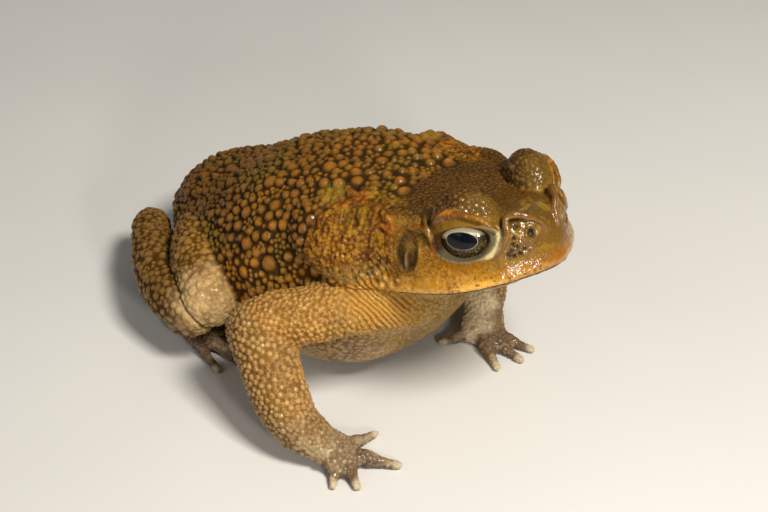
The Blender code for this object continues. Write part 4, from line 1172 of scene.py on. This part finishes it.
# painted shade in the troughs of the wrinkles
darken(0.5 * wrinkleMask * smooth(0.2, -0.8, wrinkleWave))
paint("belly blotches", isBelly * smooth(0.0, 0.6, layered(p, 5.0, 3, 96)) * 0.5)
onHands = np.clip(isHand + isFinger + isFoot + isToe, 0, 1)
paint("hand blotches", smooth(0.1, 0.5, layered(p, 3.0, 2, 97)) * onHands * 0.4)
paint("hand, pale", onHands * smooth(0.1, 0.7, layered(p, 2.6, 2, 68)) * 0.5)
tipApart = np.full(count, 9.0)
for digits in (fingers, toes):
    for name, s in sideSign.items():
        for _, end, radius in digits[name]:
            place = (end[0], s * end[1], 0.6 * radius)
            tipApart = np.minimum(tipApart, np.linalg.norm(p - place, axis=1))
paint("digit tips", onHands * smooth(2.2, 1.0, tipApart) * 0.7)
colour = np.clip(colour, 0.002, 1)

# how wet the skin looks: dry, and what each kind of skin adds
dryGloss = 0.3
glossShares = [(0.15, cheek), (0.35, dome), (0.5, lipMask), (0.4, anyCrest), (0.6, crestMask["canthal"]),
               (0.5, frontMask), (0.15, lidMask), (-0.3, crease)]
gloss = np.clip(dryGloss + sum(share * mask for share, mask in glossShares), 0, 1)
print("skin coloured")

# stage 7: the skin as one piece


def attribute(mesh, name, kind, values):
    layer = mesh.attributes.new(name, kind, "POINT")
    field = "color" if kind == "FLOAT_COLOR" else "vector" if kind == "FLOAT_VECTOR" else "value"
    layer.data.foreach_set(field, np.ascontiguousarray(values, dtype=np.float32).ravel())


def shownMesh(name, where, corners):
    mesh = bpy.data.meshes.new(name)
    mesh.vertices.add(len(where))
    mesh.vertices.foreach_set("co", placed(where).ravel())
    mesh.loops.add(corners.size)
    mesh.loops.foreach_set("vertex_index", corners.ravel().astype(np.int32))
    mesh.polygons.add(len(corners))
    mesh.polygons.foreach_set("loop_start", np.arange(0, corners.size, corners.shape[1], dtype=np.int32))
    mesh.update(calc_edges=True)
    mesh.polygons.foreach_set("use_smooth", np.ones(len(corners), dtype=bool))
    mesh.update()
    return addToScene(name, mesh)


# a material and short ways to add nodes to it
class Nodes:
    def __init__(self, name):
        self.material = bpy.data.materials.new(name)
        self.material.use_nodes = True
        self.tree = self.material.node_tree
        self.shader = self.tree.nodes["Principled BSDF"]

    def add(self, kind, **values):
        node = self.tree.nodes.new(kind)
        for key, value in values.items():
            setattr(node, key, value)
        return node

    def link(self, a, b):
        self.tree.links.new(a, b)

    def set(self, values):
        for socket, value in values.items():
            self.shader.inputs[socket].default_value = value

    def attribute(self, name):
        return self.add("ShaderNodeAttribute", attribute_name=name)

    def noise(self, scale, detail=3.0, rough=0.55, place=None):
        node = self.add("ShaderNodeTexNoise")
        node.inputs["Scale"].default_value = scale
        node.inputs["Detail"].default_value = detail
        node.inputs["Roughness"].default_value = rough
        self.link(place, node.inputs["Vector"])
        return node.outputs["Fac"]

    def ramp(self, value, low, high, outLow, outHigh):
        node = self.add("ShaderNodeMapRange")
        for key, number in (("From Min", low), ("From Max", high), ("To Min", outLow), ("To Max", outHigh)):
            node.inputs[key].default_value = number
        self.link(value, node.inputs["Value"])
        return node.outputs["Result"]

    def math(self, operation, a, b):
        node = self.add("ShaderNodeMath", operation=operation)
        for socket, value in zip(node.inputs, (a, b)):
            if isinstance(value, (int, float)):
                socket.default_value = value
            else:
                self.link(value, socket)
        return node.outputs[0]


skinLook = {"roughLow": 0.48, "roughHigh": 0.72, "specular": 0.12, "coat": 1.0, "coatRough": 0.07,
            "coatIor": 1.5, "grain": 1500.0, "grainTone": 0.22, "wetPatches": 420.0, "fine": 2600.0,
            "cells": 2300.0, "cellRelief": -0.6, "bump": 0.8, "coatBump": 0.25, "bumpReach": 0.00022,
            "subsurface": 0.05, "subsurfaceColour": (1.0, 0.45, 0.2), "subsurfaceReach": 0.0006}


def skinMaterial():
    n = Nodes("toad skin")
    place = n.add("ShaderNodeTexCoord").outputs["Object"]
    tone = n.attribute("skinColour").outputs["Color"]
    grain = n.noise(skinLook["grain"], 4.0, 0.6, place)
    shade = n.ramp(grain, 0.3, 0.7, 1 - skinLook["grainTone"], 1 + skinLook["grainTone"])
    scaled = n.add("ShaderNodeVectorMath", operation="SCALE")
    n.link(tone, scaled.inputs[0])
    n.link(shade, scaled.inputs["Scale"])
    n.link(scaled.outputs[0], n.shader.inputs["Base Color"])
    glossy = n.attribute("gloss").outputs["Fac"]
    patches = n.noise(skinLook["wetPatches"], 3.0, 0.5, place)
    wet = n.math("ADD", n.math("MULTIPLY", glossy, 0.7), n.math("MULTIPLY", patches, 0.5))
    n.link(n.ramp(wet, 0.2, 0.9, skinLook["roughHigh"], skinLook["roughLow"]), n.shader.inputs["Roughness"])
    n.link(n.ramp(wet, 0.45, 0.85, 0.0, skinLook["coat"]), n.shader.inputs["Coat Weight"])
    n.set({"Coat IOR": skinLook["coatIor"], "Coat Roughness": skinLook["coatRough"],
           "Specular IOR Level": skinLook["specular"], "Subsurface Weight": skinLook["subsurface"],
           "Subsurface Radius": skinLook["subsurfaceColour"],
           "Subsurface Scale": skinLook["subsurfaceReach"]})
    fine = n.noise(skinLook["fine"], 3.0, 0.6, place)
    cells = n.add("ShaderNodeTexVoronoi", feature="F1")
    cells.inputs["Scale"].default_value = skinLook["cells"]
    n.link(place, cells.inputs["Vector"])
    relief = n.math("ADD", fine, n.math("MULTIPLY", cells.outputs["Distance"], skinLook["cellRelief"]))
    for strength, socket in (("bump", "Normal"), ("coatBump", "Coat Normal")):
        bumpNode = n.add("ShaderNodeBump")
        bumpNode.inputs["Strength"].default_value = skinLook[strength]
        bumpNode.inputs["Distance"].default_value = skinLook["bumpReach"]
        n.link(relief, bumpNode.inputs["Height"])
        n.link(bumpNode.outputs["Normal"], n.shader.inputs[socket])
    return n.material


skin = shownMesh("toadSkin", skinPoints, faces)
attribute(skin.data, "skinColour", "FLOAT_COLOR", np.column_stack([colour, np.ones(count)]))
attribute(skin.data, "gloss", "FLOAT", gloss)
skin.data.materials.append(skinMaterial())
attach(skin, "root")
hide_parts(*[name for name in frame["nodes"] if not name.startswith("eye")])
print("skin shown:", len(faces) * 2, "triangles")

# the eyes

eyeLook = {"pupilWide": 3.55, "pupilHigh": 2.05, "pupilUp": 0.0, "pupilForward": -0.4, "pupilTilt": 0.1,
           "ring": 0.045, "flecks": 3.2, "irisDark": (30, 23, 10), "gold": (150, 116, 52),
           "cream": (216, 202, 166), "pupil": (3, 6, 12)}
eyeGloss = {"Roughness": 0.3, "Specular IOR Level": 0.1, "Coat Weight": 0.8, "Coat Roughness": 0.02,
            "Coat IOR": 1.34}


def eyeMaterial():
    n = Nodes("toad eye")
    split = n.add("ShaderNodeSeparateXYZ")
    place = n.attribute("eyePlace").outputs["Vector"]
    n.link(place, split.inputs[0])
    u, w, v = split.outputs
    across = n.math("DIVIDE", n.math("SUBTRACT", u, eyeLook["pupilForward"]), eyeLook["pupilWide"])
    tilted = n.math("ADD", v, n.math("MULTIPLY", u, eyeLook["pupilTilt"]))
    upward = n.math("DIVIDE", n.math("SUBTRACT", tilted, eyeLook["pupilUp"]), eyeLook["pupilHigh"])
    squares = [n.math("MULTIPLY", value, value) for value in (across, upward)]
    away = n.math("SQRT", n.math("ADD", *squares), 0.0)
    flecks = n.noise(eyeLook["flecks"], 5.0, 0.75, place)

    def mixColour(share, low, high):
        node = n.add("ShaderNodeMix", data_type="RGBA")
        n.link(share, node.inputs["Factor"])
        for socket, value in ((node.inputs["A"], low), (node.inputs["B"], high)):
            if isinstance(value, tuple):
                socket.default_value = (*linear(value), 1.0)
            else:
                n.link(value, socket)
        return node.outputs["Result"]

    golden = n.math("MULTIPLY", n.ramp(flecks, 0.52, 0.66, 0.0, 1.0), n.ramp(v, 1.5, -2.5, 0.15, 1.0))
    iris = mixColour(golden, eyeLook["irisDark"], eyeLook["gold"])
    above = n.math("MULTIPLY", n.ramp(away, 1.65, 1.45, 0.0, 1.0), n.ramp(v, 0.5, 1.4, 0.0, 1.0))
    iris = mixColour(n.math("MULTIPLY", above, n.ramp(flecks, 0.3, 0.45, 0.7, 1.0)), iris, eyeLook["cream"])
    ring = n.ramp(away, 1.0 + eyeLook["ring"], 1.0 + eyeLook["ring"] * 0.6, 0.0, 0.6)
    iris = mixColour(ring, iris, eyeLook["cream"])
    pupil = n.ramp(away, 1.03, 0.99, 0.0, 1.0)
    n.link(mixColour(pupil, iris, eyeLook["pupil"]), n.shader.inputs["Base Color"])
    n.set(eyeGloss)
    return n.material


eyeShader = eyeMaterial()
for name, s in sideSign.items():
    local, triangles = loft(eyeShape(128, 160))
    local[-2] = (0, eye["sizes"][1], 0)
    eyeball = shownMesh(f"eyeball_{name}", local @ eyeTurn(s).T + eyeCentre(s), triangles)
    attribute(eyeball.data, "eyePlace", "FLOAT_VECTOR", local * [s, 1, 1])
    eyeball.data.materials.append(eyeShader)
    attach(eyeball, "root")
    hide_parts(f"eye_{name}")
print("eyes made")

# floor, light and camera

floorLook = {"size": 6.0, "colour": (206, 203, 197), "roughness": 0.6}
mesh = bpy.data.meshes.new("floor")
half = floorLook["size"] / 2
mesh.from_pydata([(-half, -half, 0), (half, -half, 0), (half, half, 0), (-half, half, 0)], [], [(0, 1, 2, 3)])
floorPiece = addToScene("floor", mesh)
floorNodes = Nodes("floor paint")
floorPlace = floorNodes.add("ShaderNodeTexCoord").outputs["Object"]
floorShade = floorNodes.ramp(floorNodes.noise(9.0, 2.0, 0.5, floorPlace), 0.3, 0.7, 0.97, 1.03)
floorScale = floorNodes.add("ShaderNodeVectorMath", operation="SCALE")
floorScale.inputs[0].default_value = tuple(linear(floorLook["colour"]))
floorNodes.link(floorShade, floorScale.inputs["Scale"])
floorNodes.link(floorScale.outputs[0], floorNodes.shader.inputs["Base Color"])
floorNodes.set({"Roughness": floorLook["roughness"]})
mesh.materials.append(floorNodes.material)

lamps = {
    "key": {"at": (0.34, -0.06, 0.50), "size": 0.14, "power": 4.4, "colour": (1.0, 0.97, 0.91)},
    "front": {"at": (0.52, -0.26, 0.24), "size": 0.07, "power": 1.3, "colour": (1.0, 0.98, 0.94)},
    "fill": {"at": (-0.16, -0.62, 0.42), "size": 0.60, "power": 0.9, "colour": (0.98, 0.98, 1.0)},
    "rim": {"at": (-0.30, 0.40, 0.60), "size": 0.30, "power": 0.2, "colour": (1.0, 0.975, 0.94)},
}
target = Vector(((shift[0] + 5) * mm, shift[1] * mm, 0.03))
for name, values in lamps.items():
    light = bpy.data.lights.new(name, "AREA")
    light.size = values["size"]
    light.energy = values["power"]
    light.color = values["colour"]
    lamp = addToScene(name, light)
    lamp.location = values["at"]
    lamp.rotation_euler = (Vector(values["at"]) - target).to_track_quat("Z", "Y").to_euler()
studio = {"Color": (0.84, 0.84, 0.84, 1.0), "Strength": 0.13}
world = bpy.data.worlds.new("studio")
world.use_nodes = True
for socket, value in studio.items():
    world.node_tree.nodes["Background"].inputs[socket].default_value = value
bpy.context.scene.world = world

view = {"lens": 85.5, "azimuth": 42.4, "elevation": 36.0, "place": (249.0, -269.1, 290.1)}
turn, lift = math.radians(view["azimuth"]), math.radians(view["elevation"])
right = Vector((math.cos(turn), math.sin(turn), 0.0))
back = Vector((math.sin(turn) * math.cos(lift), -math.cos(turn) * math.cos(lift), math.sin(lift)))
up = back.cross(right)
cameraData = bpy.data.cameras.new("camera")
cameraData.lens = view["lens"]
cameraData.sensor_width = 36.0
cameraData.clip_start = 0.01
camera = addToScene("camera", cameraData)
turned = Matrix((right, up, back)).transposed().to_4x4()
camera.matrix_world = Matrix.Translation(Vector(placed(view["place"]))) @ turned
bpy.context.scene.camera = camera
bpy.context.scene.view_settings.view_transform = "Standard"
